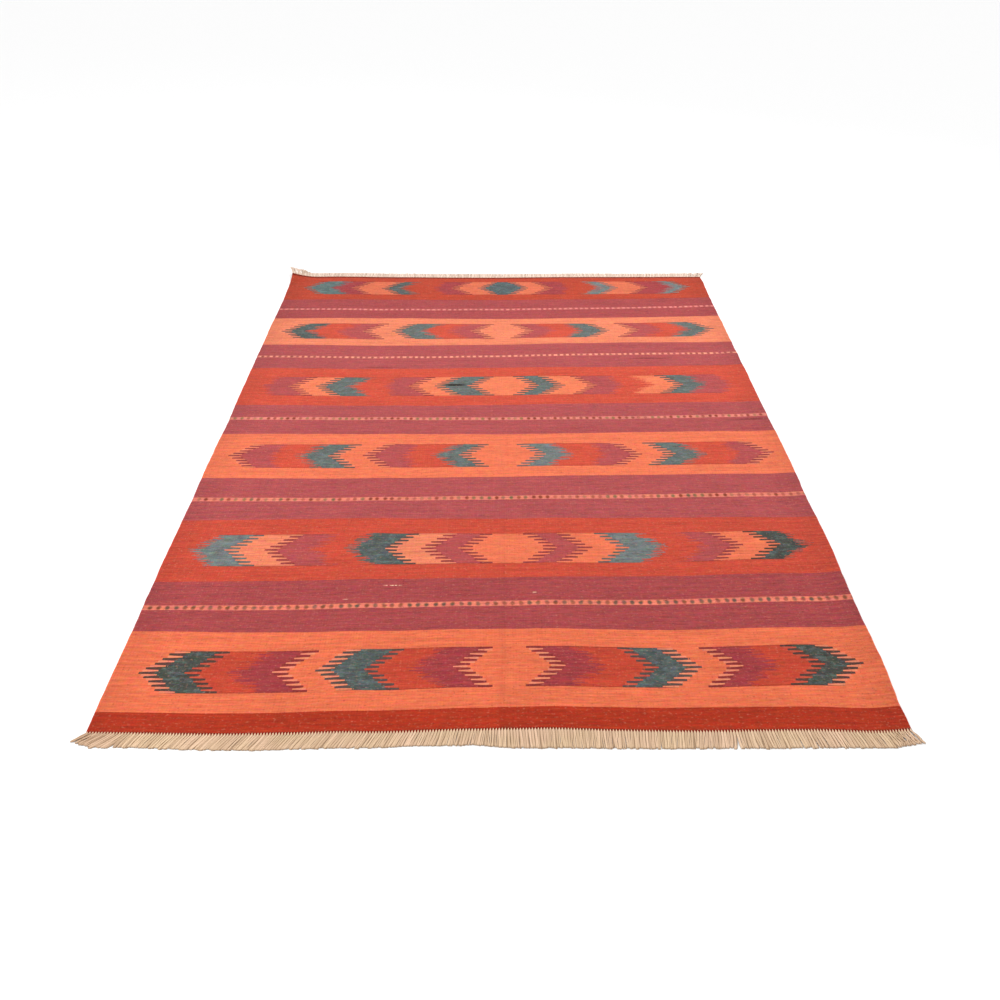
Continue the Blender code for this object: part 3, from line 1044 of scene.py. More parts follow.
        diagonals: dict[float, bpy.types.Node] = {}
        turns: dict[tuple[TurnStyle, bool], bpy.types.Node] = {}
        for style in dict.fromkeys(turn.style for turn in band.left + band.right):
            if style.rake not in diagonals:
                slope = style.rake * self.rake_per_row
                diagonals[style.rake] = add_node(
                    tree, "Math", distance, slope, spread, operation="MULTIPLY_ADD"
                )
            for dark_inside, teeth in ((True, outward), (False, inward)):
                edge, reach = (teeth, style.comb) if style.comb else (fray, style.hatch)
                turns[style, dark_inside] = add_node(
                    tree, "Math", edge, reach, diagonals[style.rake], operation="MULTIPLY_ADD"
                )
        return BandRows(beat=beat, distance=distance, diagonals=diagonals, turns=turns)

    def half_band(
        self, tree: bpy.types.NodeTree, band: ChevronBand, rows: BandRows, turns: tuple[Turn, ...]
    ) -> bpy.types.Node:
        """Draws a band's chevrons on one side of the centre line.

        Args:
            tree: the material's node tree.
            band: the band.
            rows: its rows.
            turns: its changes of yarn on that side, from the centre line out.

        Returns:
            The node whose output is the chevrons' colour.
        """
        inner, colour = band.heart, linear(band.heart.value)
        for turn in turns:
            dark_inside = brightness(inner) < brightness(turn.yarn)
            teeth = rows.turns[turn.style, dark_inside]
            past = add_node(tree, "Math", teeth, turn.reach, operation="GREATER_THAN")
            if turn.style.comb:
                # Painted shade of the slits darkens the darker teeth, and the other ones are paled.
                bloom = band.gap_paling if band.ground in (inner, turn.yarn) else self.inner_gap_paling
                shaded = (self.slit_shadow, self.tooth_shade), (self.gap_pale, bloom)
                with_inner, with_outer = shaded if dark_inside else shaded[::-1]
                near_side = blend(inner.value, *with_inner)
                far_side = blend(turn.yarn.value, *with_outer)
                diagonal, roots = rows.diagonals[turn.style.rake], turn.reach - turn.style.comb
                reached = add_node(tree, "Math", diagonal, roots, operation="GREATER_THAN")
                colour = add_node(tree, "Mix", reached, colour, near_side, data_type="RGBA")
                colour = add_node(tree, "Mix", past, colour, far_side, data_type="RGBA")
                past = add_node(tree, "Math", diagonal, turn.reach, operation="GREATER_THAN")
            colour = add_node(tree, "Mix", past, colour, linear(turn.yarn.value), data_type="RGBA")
            inner = turn.yarn
        return colour

    def chevrons(self, at: LoomPlace, band: ChevronBand, ground: Source) -> bpy.types.Node:
        """Draws one band's chevrons on both sides of the centre line.

        Args:
            at: the place on the cloth.
            band: the band to draw.
            ground: the colour around the chevrons.

        Returns:
            The node whose output is the colour with the band in it.
        """
        tree = at.tree
        rows = self.band_rows(at, band)
        halves = [self.half_band(tree, band, rows, turns) for turns in (band.left, band.right)]
        on_right = add_node(tree, "Math", at.across, 0.0, operation="GREATER_THAN")
        colour = add_node(tree, "Mix", on_right, *halves, data_type="RGBA")
        # The first and last wefts of the motifs lie deeper and look darker, where they aren't ground.
        last = band.rows_each_way
        rim = add_node(tree, "Math", rows.beat, operation="ABSOLUTE")
        rim = add_node(tree, "MapRange", rim, last - 0.1, last + 0.3, 0.0, self.rim_shade)
        apart = add_node(tree, "VectorMath", colour, linear(band.ground.value)[:3], operation="DISTANCE")
        motif = add_node(tree, "Math", apart.outputs["Value"], self.rim_contrast, operation="GREATER_THAN")
        rim = add_node(tree, "Math", rim, motif, operation="MULTIPLY")
        colour = add_node(tree, "Mix", rim, colour, linear(self.slit_shadow), data_type="RGBA")
        within = add_node(tree, "Math", rows.distance, last + 0.5, operation="LESS_THAN")
        return add_node(tree, "Mix", within, ground, colour, data_type="RGBA")

    def teal_patches(self, at: LoomPlace, colour: bpy.types.Node) -> bpy.types.Node:
        """Lets the teal yarns take their dyes unevenly.

        Args:
            at: the place on the cloth.
            colour: the pattern's colour.

        Returns:
            The node whose output is the colour with uneven teals.
        """
        parts = add_node(at.tree, "SeparateColor", colour.outputs["Result"])
        green = add_node(at.tree, "Math", parts.outputs["Green"], self.teal_limit, operation="MULTIPLY")
        teal = add_node(at.tree, "Math", parts.outputs["Red"], green, operation="LESS_THAN")
        for fleck in self.teal_flecks:
            colour = self.flecked(at, fleck, colour, within=teal)
        return colour

    def slips_and_shadows(self, at: LoomPlace, colour: Source) -> bpy.types.Node:
        """Draws the short runs of other yarn and the ripples' painted shadows.

        Args:
            at: the place on the cloth.
            colour: the colour so far.

        Returns:
            The node whose output is the colour with them in it.
        """
        tree = at.tree
        for streak in SLIPS_AND_SHADOWS:
            aside = add_node(tree, "Math", at.across, -streak.across, operation="ADD")
            aside = add_node(tree, "Math", aside, 1.0 / streak.half_length, operation="MULTIPLY")
            aside = add_node(tree, "Math", aside, operation="ABSOLUTE")
            off = add_node(tree, "Math", at.draft, -streak.draft, operation="ADD")
            off = add_node(tree, "Math", off, 1.0 / streak.half_height, operation="MULTIPLY")
            off = add_node(tree, "Math", off, operation="ABSOLUTE")
            off = add_node(tree, "Math", off, aside, operation="MAXIMUM")
            # Full near its middle, and fading to its edges.
            there = add_node(tree, "MapRange", off, 0.3, 1.0, streak.strength, 0.0)
            if streak.dash:
                grain = Grain(width=streak.dash, height=50, detail=0, roughness=0.5)
                dashes = self.clouds(at, grain).outputs["Fac"]
                dashes = add_node(tree, "MapRange", dashes, 0.46, 0.54, 0.0, 1.0)
                there = add_node(tree, "Math", there, dashes, operation="MULTIPLY")
            colour = add_node(tree, "Mix", there, colour, linear(streak.colour), data_type="RGBA")
        return colour

    def dotted_lines(self, at: LoomPlace, ground: Source) -> bpy.types.Node:
        """Draws the narrow light lines with a row of darker dots in each.

        Args:
            at: the place on the cloth.
            ground: the colour so far.

        Returns:
            The node whose output is the colour with the lines in it.
        """
        tree = at.tree
        count = add_node(tree, "Math", at.across, 1.0 / self.dot_pitch, operation="MULTIPLY")
        number = add_node(tree, "Math", count, operation="FLOOR")
        # The lines are more than 200 mm apart, so each falls in a stretch of its own.
        line_number = add_node(tree, "Math", at.draft, 1.0 / 0.2, operation="MULTIPLY")
        line_number = add_node(tree, "Math", line_number, operation="FLOOR")
        cell = add_node(tree, "CombineXYZ", number, line_number, 0.0)
        chance = add_node(tree, "TexWhiteNoise", cell, noise_dimensions="2D")
        chances = add_node(tree, "SeparateColor", chance.outputs["Color"])
        aside = add_node(tree, "Math", count, number, operation="SUBTRACT")
        aside = add_node(tree, "Math", aside, -0.5, operation="ADD")
        scatter = add_node(
            tree,
            "Math",
            chances.outputs["Red"],
            2.0 * self.dot_scatter,
            -self.dot_scatter,
            operation="MULTIPLY_ADD",
        )
        aside = add_node(tree, "Math", aside, scatter, operation="ADD")
        aside = add_node(tree, "Math", aside, self.dot_pitch / self.dot_half_width, operation="MULTIPLY")
        # Along a line the dots fade and darken again as the hanks were used up. The line's number
        # stands for the place along, so that each line does so in its own way.
        depth = self.clouds(replace(at, draft=line_number), self.fading).outputs["Fac"]
        own = chances.outputs["Green"]
        depth = add_node(tree, "Math", own, self.dot_chance, depth, operation="MULTIPLY_ADD")
        turn = chances.outputs["Blue"]
        other = add_node(tree, "Math", turn, 1.0 - self.other_dots, operation="GREATER_THAN")
        blush = self.clouds(at, self.blush).outputs["Fac"]
        blush = add_node(tree, "MapRange", blush, 0.45, 0.60, 0.0, self.blush_share)
        colour = ground
        for line in DOTTED_LINES:
            offset = add_node(tree, "Math", at.draft, -line.draft, operation="ADD")
            offset = add_node(tree, "Math", offset, operation="ABSOLUTE")
            on_line = add_node(tree, "Math", offset, line.half_height, operation="LESS_THAN")
            up = add_node(tree, "Math", offset, 1.0 / self.dot_half_height, operation="MULTIPLY")
            from_dot = add_node(tree, "CombineXYZ", aside, up, 0.0)
            from_dot = add_node(tree, "VectorMath", from_dot, operation="LENGTH").outputs["Value"]
            in_dot = add_node(tree, "MapRange", from_dot, self.dot_core, self.dot_reach, 1.0, 0.0)
            fullness = add_node(tree, "MapRange", depth, 0.55, 1.15, line.least, line.most)
            in_dot = add_node(tree, "Math", in_dot, fullness, operation="MULTIPLY")
            dot = add_node(tree, "Mix", other, linear(line.dot), linear(line.other_dot), data_type="RGBA")
            rose = blend(line.light, self.blush_rose, self.rose_share)
            light = add_node(tree, "Mix", blush, linear(line.light), rose, data_type="RGBA")
            light = add_node(tree, "Mix", in_dot, light, dot, data_type="RGBA")
            colour = add_node(tree, "Mix", on_line, colour, light, data_type="RGBA")
        return colour

    def dyed(self, at: LoomPlace, colour: Source) -> bpy.types.Node:
        """Varies the dye from weft to weft, adds painted light on the ribs and painted shade by the
        selvedges and down the crease, pales the selvedges' turns, and adds the flecks.

        Args:
            at: the place on the cloth.
            colour: the pattern's colour.

        Returns:
            The node whose output is the colour with its painted light and shade.
        """
        tree = at.tree
        tone: Source = 1.0 - 0.5 * (sum(share for _, share in self.tones) + self.lot_share)
        for grain, share in self.tones:
            noise = self.clouds(at, grain).outputs["Fac"]
            tone = add_node(tree, "Math", noise, share, tone, operation="MULTIPLY_ADD")
        lot = add_node(tree, "TexWhiteNoise", at.weft, noise_dimensions="1D").outputs["Value"]
        tone = add_node(tree, "Math", lot, self.lot_share, tone, operation="MULTIPLY_ADD")
        tone = self.painted_shade_and_loops(at, tone)
        colour = add_node(tree, "Mix", 1.0, colour, tone, data_type="RGBA", blend_type="MULTIPLY")

        # Fibres of several dyes were carded together, so the hue wanders as well.
        carded = self.clouds(at, self.carded).outputs["Color"]
        colour = add_node(
            tree, "Mix", self.carded_share, colour, carded, data_type="RGBA", blend_type="SOFT_LIGHT"
        )
        colour = self.flecked(at, self.loose_fibres, colour)
        return self.flecked(at, self.dark_knots, colour)

    def painted_shade_and_loops(self, at: LoomPlace, tone: Source) -> bpy.types.Node:
        """Darkens the wool with painted shade by the selvedges and down the crease, and pales the
        selvedges' turns.

        Args:
            at: the place on the cloth.
            tone: the wool's brightness so far.

        Returns:
            The node whose output is the brightness with the painted shade and the pale turns in it.
        """
        tree, edge = at.tree, FIELD_WIDTH / 2
        aside = add_node(tree, "Math", at.across, operation="ABSOLUTE")
        # Painted shade by each selvedge.
        rim = add_node(tree, "MapRange", aside, edge - self.edge_shade_reach, edge, 1.0, self.edge_shade_tone)
        tone = add_node(tree, "Math", tone, rim, operation="MULTIPLY")
        loop = add_node(tree, "MapRange", aside, edge - self.loop_start, edge - self.loop_full, 0.0, 1.0)
        beat = add_node(tree, "Math", at.draft, 1.0 / (2.0 * WEFT_PITCH), operation="MULTIPLY")
        beat = add_node(tree, "Math", beat, 1.0, operation="PINGPONG")
        loop = add_node(tree, "Math", loop, beat, operation="MULTIPLY")
        tone = add_node(tree, "Math", loop, self.loop_tone, tone, operation="MULTIPLY_ADD")
        # Painted shade down the crease, fading towards the far end.
        crease_shading = add_node(tree, "Math", at.across, -self.crease_shade_across, operation="ADD")
        crease_shading = add_node(tree, "Math", crease_shading, operation="ABSOLUTE")
        crease_shading = add_node(tree, "MapRange", crease_shading, self.crease_shade_core, self.crease_shade_reach, self.crease_shade_tone, 0.0)
        fading = add_node(tree, "MapRange", at.draft, self.crease_shade_fades_from, self.crease_shade_gone_at, 1.0, 0.0)
        crease_shading = add_node(tree, "Math", crease_shading, fading, operation="MULTIPLY")
        return add_node(tree, "Math", tone, crease_shading, operation="SUBTRACT")

    def warps_at_ends(self, at: LoomPlace, colour: Source) -> bpy.types.Node:
        """Lets the warp bundles show between the last loose wefts of each end.

        Args:
            at: the place on the cloth.
            colour: the colour so far.

        Returns:
            The node whose output is the colour with the warps in it.
        """
        tree = at.tree
        count = add_node(
            tree, "Math", at.across, 1.0 / BUNDLE_PITCH, BUNDLES_PER_END / 2, operation="MULTIPLY_ADD"
        )
        count = add_node(tree, "Math", count, operation="FRACT")
        count = add_node(tree, "Math", count, -0.5, operation="ADD")
        count = add_node(tree, "Math", count, operation="ABSOLUTE")
        from_far = add_node(tree, "Math", FIELD_LENGTH, at.draft, operation="SUBTRACT")
        to_end = add_node(tree, "Math", at.draft, from_far, operation="MINIMUM")
        on_bundle = add_node(tree, "MapRange", count, 0.0, self.root_half_width, self.root_reach, 0.0)
        shown = add_node(tree, "Math", to_end, on_bundle, operation="LESS_THAN")
        # Painted shade on the wool beside the warps.
        beside = add_node(tree, "Math", to_end, self.root_reach, operation="LESS_THAN")
        shaded = add_node(tree, "Math", beside, self.root_shade, operation="MULTIPLY")
        colour = add_node(tree, "Mix", shaded, colour, linear(self.root_shadow), data_type="RGBA")
        return add_node(tree, "Mix", shown, colour, linear(self.root_cotton), data_type="RGBA")

    def weave_relief(self, at: LoomPlace) -> bpy.types.Node:
        """Raises each weft as a rib that dips between the warps.

        Args:
            at: the place on the cloth.

        Returns:
            The bump node.
        """
        # Wefts are 3.45 mm apart here, two real ones to a rib, as single ones would be too fine to show.
        tree, waves = at.tree, []
        for place, pitch in ((at.draft, WEFT_PITCH), (at.across, BUNDLE_PITCH)):
            wave = add_node(tree, "Math", place, math.pi / pitch, operation="MULTIPLY")
            wave = add_node(tree, "Math", wave, operation="SINE")
            waves.append(add_node(tree, "Math", wave, operation="ABSOLUTE"))
        rib, warp = waves
        height = add_node(tree, "Math", warp, self.dip_share, rib, operation="MULTIPLY_ADD")
        uneven = self.clouds(at, self.uneven).outputs["Fac"]
        height = add_node(tree, "Math", uneven, self.uneven_share, height, operation="MULTIPLY_ADD")
        relief = {"Height": height, "Distance": self.relief_height, "Strength": self.relief_strength}
        return add_node(tree, "Bump", inputs=relief)


@dataclass(frozen=True)
class CottonWarp:
    """Undyed cotton string, spun and plied by hand, cut at the loom.

    It is matt and cream to beige. Painted shade makes it greyer and browner in the grooves between its
    plies, in the hollows between the strings and on the lower strings.
    """

    pale: str = "#DCBEA0"
    dark: str = "#8E6E50"
    olive: str = "#D0B48C"
    pink: str = "#E2BCA0"
    bleached: str = "#F4E0D6"
    roughness: float = 0.88
    specular: float = 0.2
    sheen: float = 0.15
    patch_width: float = 0.0714
    patch_share: float = 0.45
    bleached_share: float = 0.65
    grey_and_shade_share: float = 0.70
    twist_pitch: float = 0.008
    painted_groove_shade: float = 0.35
    painted_hollow_shade: float = 0.75
    relief_height: float = 0.0004
    relief_strength: float = 0.7

    def material(self) -> bpy.types.Material:
        """Builds the string's material.

        Returns:
            A material that draws the plies from the strings' "Strand" map.
        """
        material = bpy.data.materials.new("plied_cotton_warp")
        material.use_nodes = True
        tree = material.node_tree
        ply = self.plies(tree)
        colour = self.cotton(tree)
        # Painted shade darkens the grooves between the plies.
        groove = add_node(tree, "MapRange", ply, 0.0, 0.5, self.painted_groove_shade, 0.0)
        colour = add_node(tree, "Mix", groove, colour, linear(self.dark), data_type="RGBA")
        # Sides that face outward or down get painted shade, as they lie in the hollows between the strings.
        up = add_node(tree, "SeparateXYZ", add_node(tree, "NewGeometry").outputs["Normal"]).outputs["Z"]
        hollow = add_node(tree, "MapRange", up, 0.75, -0.10, 0.0, self.painted_hollow_shade)
        colour = add_node(tree, "Mix", hollow, colour, linear(self.dark), data_type="RGBA")
        relief = {"Height": ply, "Distance": self.relief_height, "Strength": self.relief_strength}
        bump = add_node(tree, "Bump", inputs=relief)
        shader = tree.nodes["Principled BSDF"]
        shader.inputs["Roughness"].default_value = self.roughness
        shader.inputs["Specular IOR Level"].default_value = self.specular
        shader.inputs["Sheen Weight"].default_value = self.sheen
        tree.links.new(next(o for o in colour.outputs if o.enabled), shader.inputs["Base Color"])
        tree.links.new(bump.outputs["Normal"], shader.inputs["Normal"])
        return material

    def cotton(self, tree: bpy.types.NodeTree) -> bpy.types.Node:
        """Colours the cotton in patches, by the string's tone and by the rug's end.

        Args:
            tree: the material's node tree.

        Returns:
            The node whose output is the cotton's colour.
        """
        tone = add_node(tree, "Attribute", attribute_name="tone").outputs["Fac"]
        where = add_node(tree, "TexCoord").outputs["Object"]
        patch = add_node(
            tree, "TexNoise", where, 1.0 / self.patch_width, 2.0, 0.5, noise_dimensions="3D"
        ).outputs["Fac"]
        patch = add_node(tree, "MapRange", patch, 0.36, 0.64, 0.0, 1.0)
        colour = add_node(tree, "Mix", patch, linear(self.olive), linear(self.pink), data_type="RGBA")
        even = 1.0 - self.patch_share
        colour = add_node(tree, "Mix", even, colour, linear(self.pale), data_type="RGBA")
        # The far end was washed and bleached more than the near one.
        along = add_node(tree, "SeparateXYZ", where).outputs["Y"]
        bleached = add_node(tree, "Math", along, 0.0, operation="GREATER_THAN")
        bleached = add_node(tree, "Math", bleached, self.bleached_share, operation="MULTIPLY")
        colour = add_node(tree, "Mix", bleached, colour, linear(self.bleached), data_type="RGBA")
        # The tone greys the strings, and the lower ones get painted shade by it.
        shade = add_node(tree, "MapRange", tone, 0.0, 1.0, self.grey_and_shade_share, 0.0)
        return add_node(tree, "Mix", shade, colour, linear(self.dark), data_type="RGBA")

    def plies(self, tree: bpy.types.NodeTree) -> bpy.types.Node:
        """Winds two plies round each other, once in each twist pitch.

        Args:
            tree: the material's node tree.

        Returns:
            The node whose output is 0 in the grooves between the plies and 1 on their backs.
        """
        strand = add_node(tree, "SeparateXYZ", add_node(tree, "UVMap", uv_map="Strand"))
        around, length = strand.outputs["X"], strand.outputs["Y"]
        turns = add_node(tree, "Math", length, 1.0 / self.twist_pitch, around, operation="MULTIPLY_ADD")
        ply = add_node(tree, "Math", turns, 2.0 * math.pi, operation="MULTIPLY")
        ply = add_node(tree, "Math", ply, operation="SINE")
        return add_node(tree, "Math", ply, operation="ABSOLUTE")


@dataclass(frozen=True)
class FloorPaint:
    """Matt white emulsion on a smooth floor, which gives an even, plain ground."""

    colour: str = "#F2F2F2"
    roughness: float = 0.9
    specular: float = 0.1

    def material(self) -> bpy.types.Material:
        """Builds the paint's material.

        Returns:
            A plain matt white.
        """
        material = bpy.data.materials.new("matt_white_emulsion")
        material.use_nodes = True
        shader = material.node_tree.nodes["Principled BSDF"]
        shader.inputs["Base Color"].default_value = linear(self.colour)
        shader.inputs["Roughness"].default_value = self.roughness
        shader.inputs["Specular IOR Level"].default_value = self.specular
        return material


# ---------------------------------------------------------------- sub-assemblies
class RugEnd(Enum):
    """The rug's two ends, as (node, column of the tables, place along, direction outward)."""

    NEAR = ("fringe_near", "near", 0.0, -1.0)
    FAR = ("fringe_far", "far", FIELD_LENGTH, 1.0)

    def __init__(self, node: str, column: str, along: float, outward: float) -> None:
        """Names the end's four facts.

        Args:
            node: the node of the end's fringe.
            column: the end's column in the tables.
            along: the end's place along.
            outward: the direction of +Y that leads out of the cloth.
        """
        self.node, self.column, self.along, self.outward = node, column, along, outward


@dataclass(frozen=True)
class BakeLayout:
    """Where the cloth's faces lie on the square of the "OFBake" map, in which none overlap.

    The upper face takes most of the square, the underside a narrower copy, and the rims strips.
    """

    upper_left: float = 0.010
    upper_width: float = 0.630
    under_left: float = 0.660
    under_width: float = 0.300
    bottom: float = 0.012
    height: float = 0.956
    left_rim: float = 0.968
    right_rim: float = 0.982
    near_rim: float = 0.974
    far_rim: float = 0.986
    rim_width: float = 0.006


@dataclass
class WovenField:
    """The whole cloth as one thin closed sheet with rounded rims."""

    lie: Lie
    finish: WoolWeft
    layout: BakeLayout = BakeLayout()
    thickness: float = CLOTH_THICKNESS
    mesh_pitch: float = 0.0101
    rim_lines: tuple[float, ...] = (0.0, 0.0005, 0.0012, 0.0022, 0.0034, 0.0060)
    rim_round: float = 0.0034
    rim_share: float = 0.30
    cockle_rise: float = 0.0007
    cockle_most: float = 1.6
    cockle_count: int = 26
    cockle_lengths: tuple[float, float] = (0.09, 0.30)
    cockle_scatter: float = 0.5
    cockle_seed: int = 5
    waver_size: float = 0.0004
    waver_reach: float = 0.02
    waver_count: int = 12
    waver_lengths: tuple[float, float] = (0.03, 0.30)
    waver_seeds: tuple[int, int] = (7, 8)

    def lines(self, size: float) -> Places:
        """Places the mesh's lines, closer at both rims.

        Args:
            size: the cloth's size that way.

        Returns:
            The lines' places, from 0 to the size.
        """
        inner = self.rim_lines[-1]
        count = round((size - 2 * inner) / self.mesh_pitch)
        even = np.linspace(inner, size - inner, count + 1)[1:-1]
        rim = np.array(self.rim_lines)
        return np.concatenate([rim, even, (size - rim)[::-1]])

    def cockle(self, across: Places, along: Places) -> Places:
        """The slight unevenness of hand-beaten cloth, as a sum of crossing low waves.

        Args:
            across: places across the cloth.
            along: places along it.

        Returns:
            How far each place stands up from the solid's folds.
        """
        draw = random.Random(self.cockle_seed)
        height = np.zeros(np.broadcast(across, along).shape)
        for _ in range(self.cockle_count):
            length = draw.uniform(*self.cockle_lengths)
            heading = draw.gauss(math.pi / 2, self.cockle_scatter)
            phase = draw.uniform(0.0, 2.0 * math.pi)
            with_it = across * math.cos(heading) + along * math.sin(heading)
            height = height + np.sin(2.0 * math.pi * with_it / length + phase)
        raised = 0.5 + 0.5 * height / math.sqrt(self.cockle_count / 2)
        return self.cockle_rise * np.clip(raised, 0.0, self.cockle_most)

    def waver(self, along: Places, seed: int) -> Places:
        """How far a selvedge wavers as the wefts pull on it.

        Args:
            along: places along the selvedge.
            seed: which selvedge's waver to draw.

        Returns:
            How far the edge stands towards +X at each place.
        """
        draw = random.Random(seed)
        total = np.zeros_like(along)
        for _ in range(self.waver_count):
            length, phase = draw.uniform(*self.waver_lengths), draw.uniform(0.0, 2.0 * math.pi)
            total += np.sin(2.0 * math.pi * along / length + phase) / math.sqrt(self.waver_count / 2)
        return self.waver_size * total

    def mesh(self) -> bpy.types.Mesh:
        """Builds the sheet's mesh with its maps.

        Returns:
            A closed mesh with the "Loom" map, and the "OFBake" map, in which no faces overlap.
        """
        columns, rows = self.lines(FIELD_WIDTH), self.lines(FIELD_LENGTH)
        bm = bmesh.new()
        bmesh.ops.create_grid(bm, x_segments=len(columns) - 1, y_segments=len(rows) - 1, size=1.0)
        raised = bmesh.ops.extrude_face_region(bm, geom=bm.faces[:])
        upper = [g for g in raised["geom"] if isinstance(g, bmesh.types.BMVert)]
        bmesh.ops.translate(bm, verts=upper, vec=(0.0, 0.0, 1.0))
        bmesh.ops.recalc_face_normals(bm, faces=bm.faces[:])
        mesh = bpy.data.meshes.new("woven_cloth")
        bm.to_mesh(mesh)
        bm.free()

        # The grid's points run from -1 to 1, which gives each one's line across and along.
        grid = np.empty(len(mesh.vertices) * 3)
        mesh.vertices.foreach_get("co", grid)
        grid = grid.reshape(-1, 3)
        i = np.rint((grid[:, 0] + 1.0) / 2.0 * (len(columns) - 1)).astype(int)
        j = np.rint((grid[:, 1] + 1.0) / 2.0 * (len(rows) - 1)).astype(int)
        top = grid[:, 2] > 0.5
        across, along = columns[i] - FIELD_WIDTH / 2, rows[j]
        from_left, from_right = columns[i], FIELD_WIDTH - columns[i]
        x, y, z = self.lie.place(across, along)
        z = z + self.cockle(across, along)
        inward = np.minimum(np.minimum(from_left, from_right), self.rim_round)
        endward = np.minimum(np.minimum(along, FIELD_LENGTH - along), self.rim_round)
        nearest = np.minimum(inward, endward) / self.rim_round
        crown = self.rim_share + (1.0 - self.rim_share) * np.sqrt(1.0 - (1.0 - nearest) ** 2)
        z = z + np.where(top, self.thickness * crown, 0.0)
        for from_edge, seed in zip((from_left, from_right), self.waver_seeds):
            x = x + self.waver(along, seed) * np.exp(-from_edge / self.waver_reach)
        mesh.vertices.foreach_set("co", np.stack([x, y, z], axis=1).astype(np.float32).ravel())

        drafts = self.lie.draft_grid(columns - FIELD_WIDTH / 2, rows)[i, j]
        self.add_maps(mesh, np.stack([across, drafts], axis=1), from_left, along, top)
        mesh.update()
        mesh.shade_smooth()
        return mesh

    def add_maps(
        self, mesh: bpy.types.Mesh, loom: Places, from_left: Places, along: Places, top: Places
    ) -> None:
        """Adds the sheet's two maps.

        Args:
            mesh: the sheet's mesh.
            loom: each point's place across and in the draft.
            from_left: each point's distance from the left selvedge.
            along: each point's place along.
            top: which points are on the upper face.
        """
        corners = np.empty(len(mesh.loops), int)
        mesh.loops.foreach_get("vertex_index", corners)
        loom_map = mesh.uv_layers.new(name="Loom")
        loom_map.data.foreach_set("uv", loom[corners].astype(np.float32).ravel())

        layout = self.layout
        share_across, share_along = from_left / FIELD_WIDTH, along / FIELD_LENGTH
        on_upper = layout.upper_left + layout.upper_width * share_across
        on_under = layout.under_left + layout.under_width * share_across
        flat_u = np.where(top, on_upper, on_under)
        flat_v = layout.bottom + layout.height * share_along
        starts = np.empty(len(mesh.polygons), int)
        totals = np.empty(len(mesh.polygons), int)
        mesh.polygons.foreach_get("loop_start", starts)
        mesh.polygons.foreach_get("loop_total", totals)
        face = np.repeat(np.arange(len(mesh.polygons)), totals)
        upper_corners = np.add.reduceat(top[corners].astype(int), starts)
        rim = ((upper_corners > 0) & (upper_corners < totals))[face]
        far_left = np.minimum.reduceat(from_left[corners], starts)[face]
        far_right = np.maximum.reduceat(from_left[corners], starts)[face]
        on_left, on_right = rim & (far_right <= 0.0), rim & (far_left >= FIELD_WIDTH)
        on_end = rim & ~on_left & ~on_right
        on_near = np.minimum.reduceat(along[corners], starts)[face] <= 0.0
        step = np.where(top[corners], layout.rim_width, 0.0)
        u, v = flat_u[corners], flat_v[corners]
        u = np.where(on_left, layout.left_rim + step, np.where(on_right, layout.right_rim + step, u))
        u = np.where(on_end, on_upper[corners], u)
        v = np.where(on_end, np.where(on_near, layout.near_rim, layout.far_rim) + step, v)
        bake_map = mesh.uv_layers.new(name="OFBake")
        bake_map.data.foreach_set("uv", np.stack([u, v], axis=1).astype(np.float32).ravel())

    def build(self, fringes: list[bpy.types.Object]) -> bpy.types.Object:
        """Args:
            fringes: the two fringes that go with it; not used.

        Returns:
            The field's object.
        """
        piece = bpy.data.objects.new("kilim_cloth", self.mesh())
        bpy.context.scene.collection.objects.link(piece)
        piece.data.materials.append(self.finish.material())
        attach(piece, "root")
        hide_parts("woven_field")
        return piece


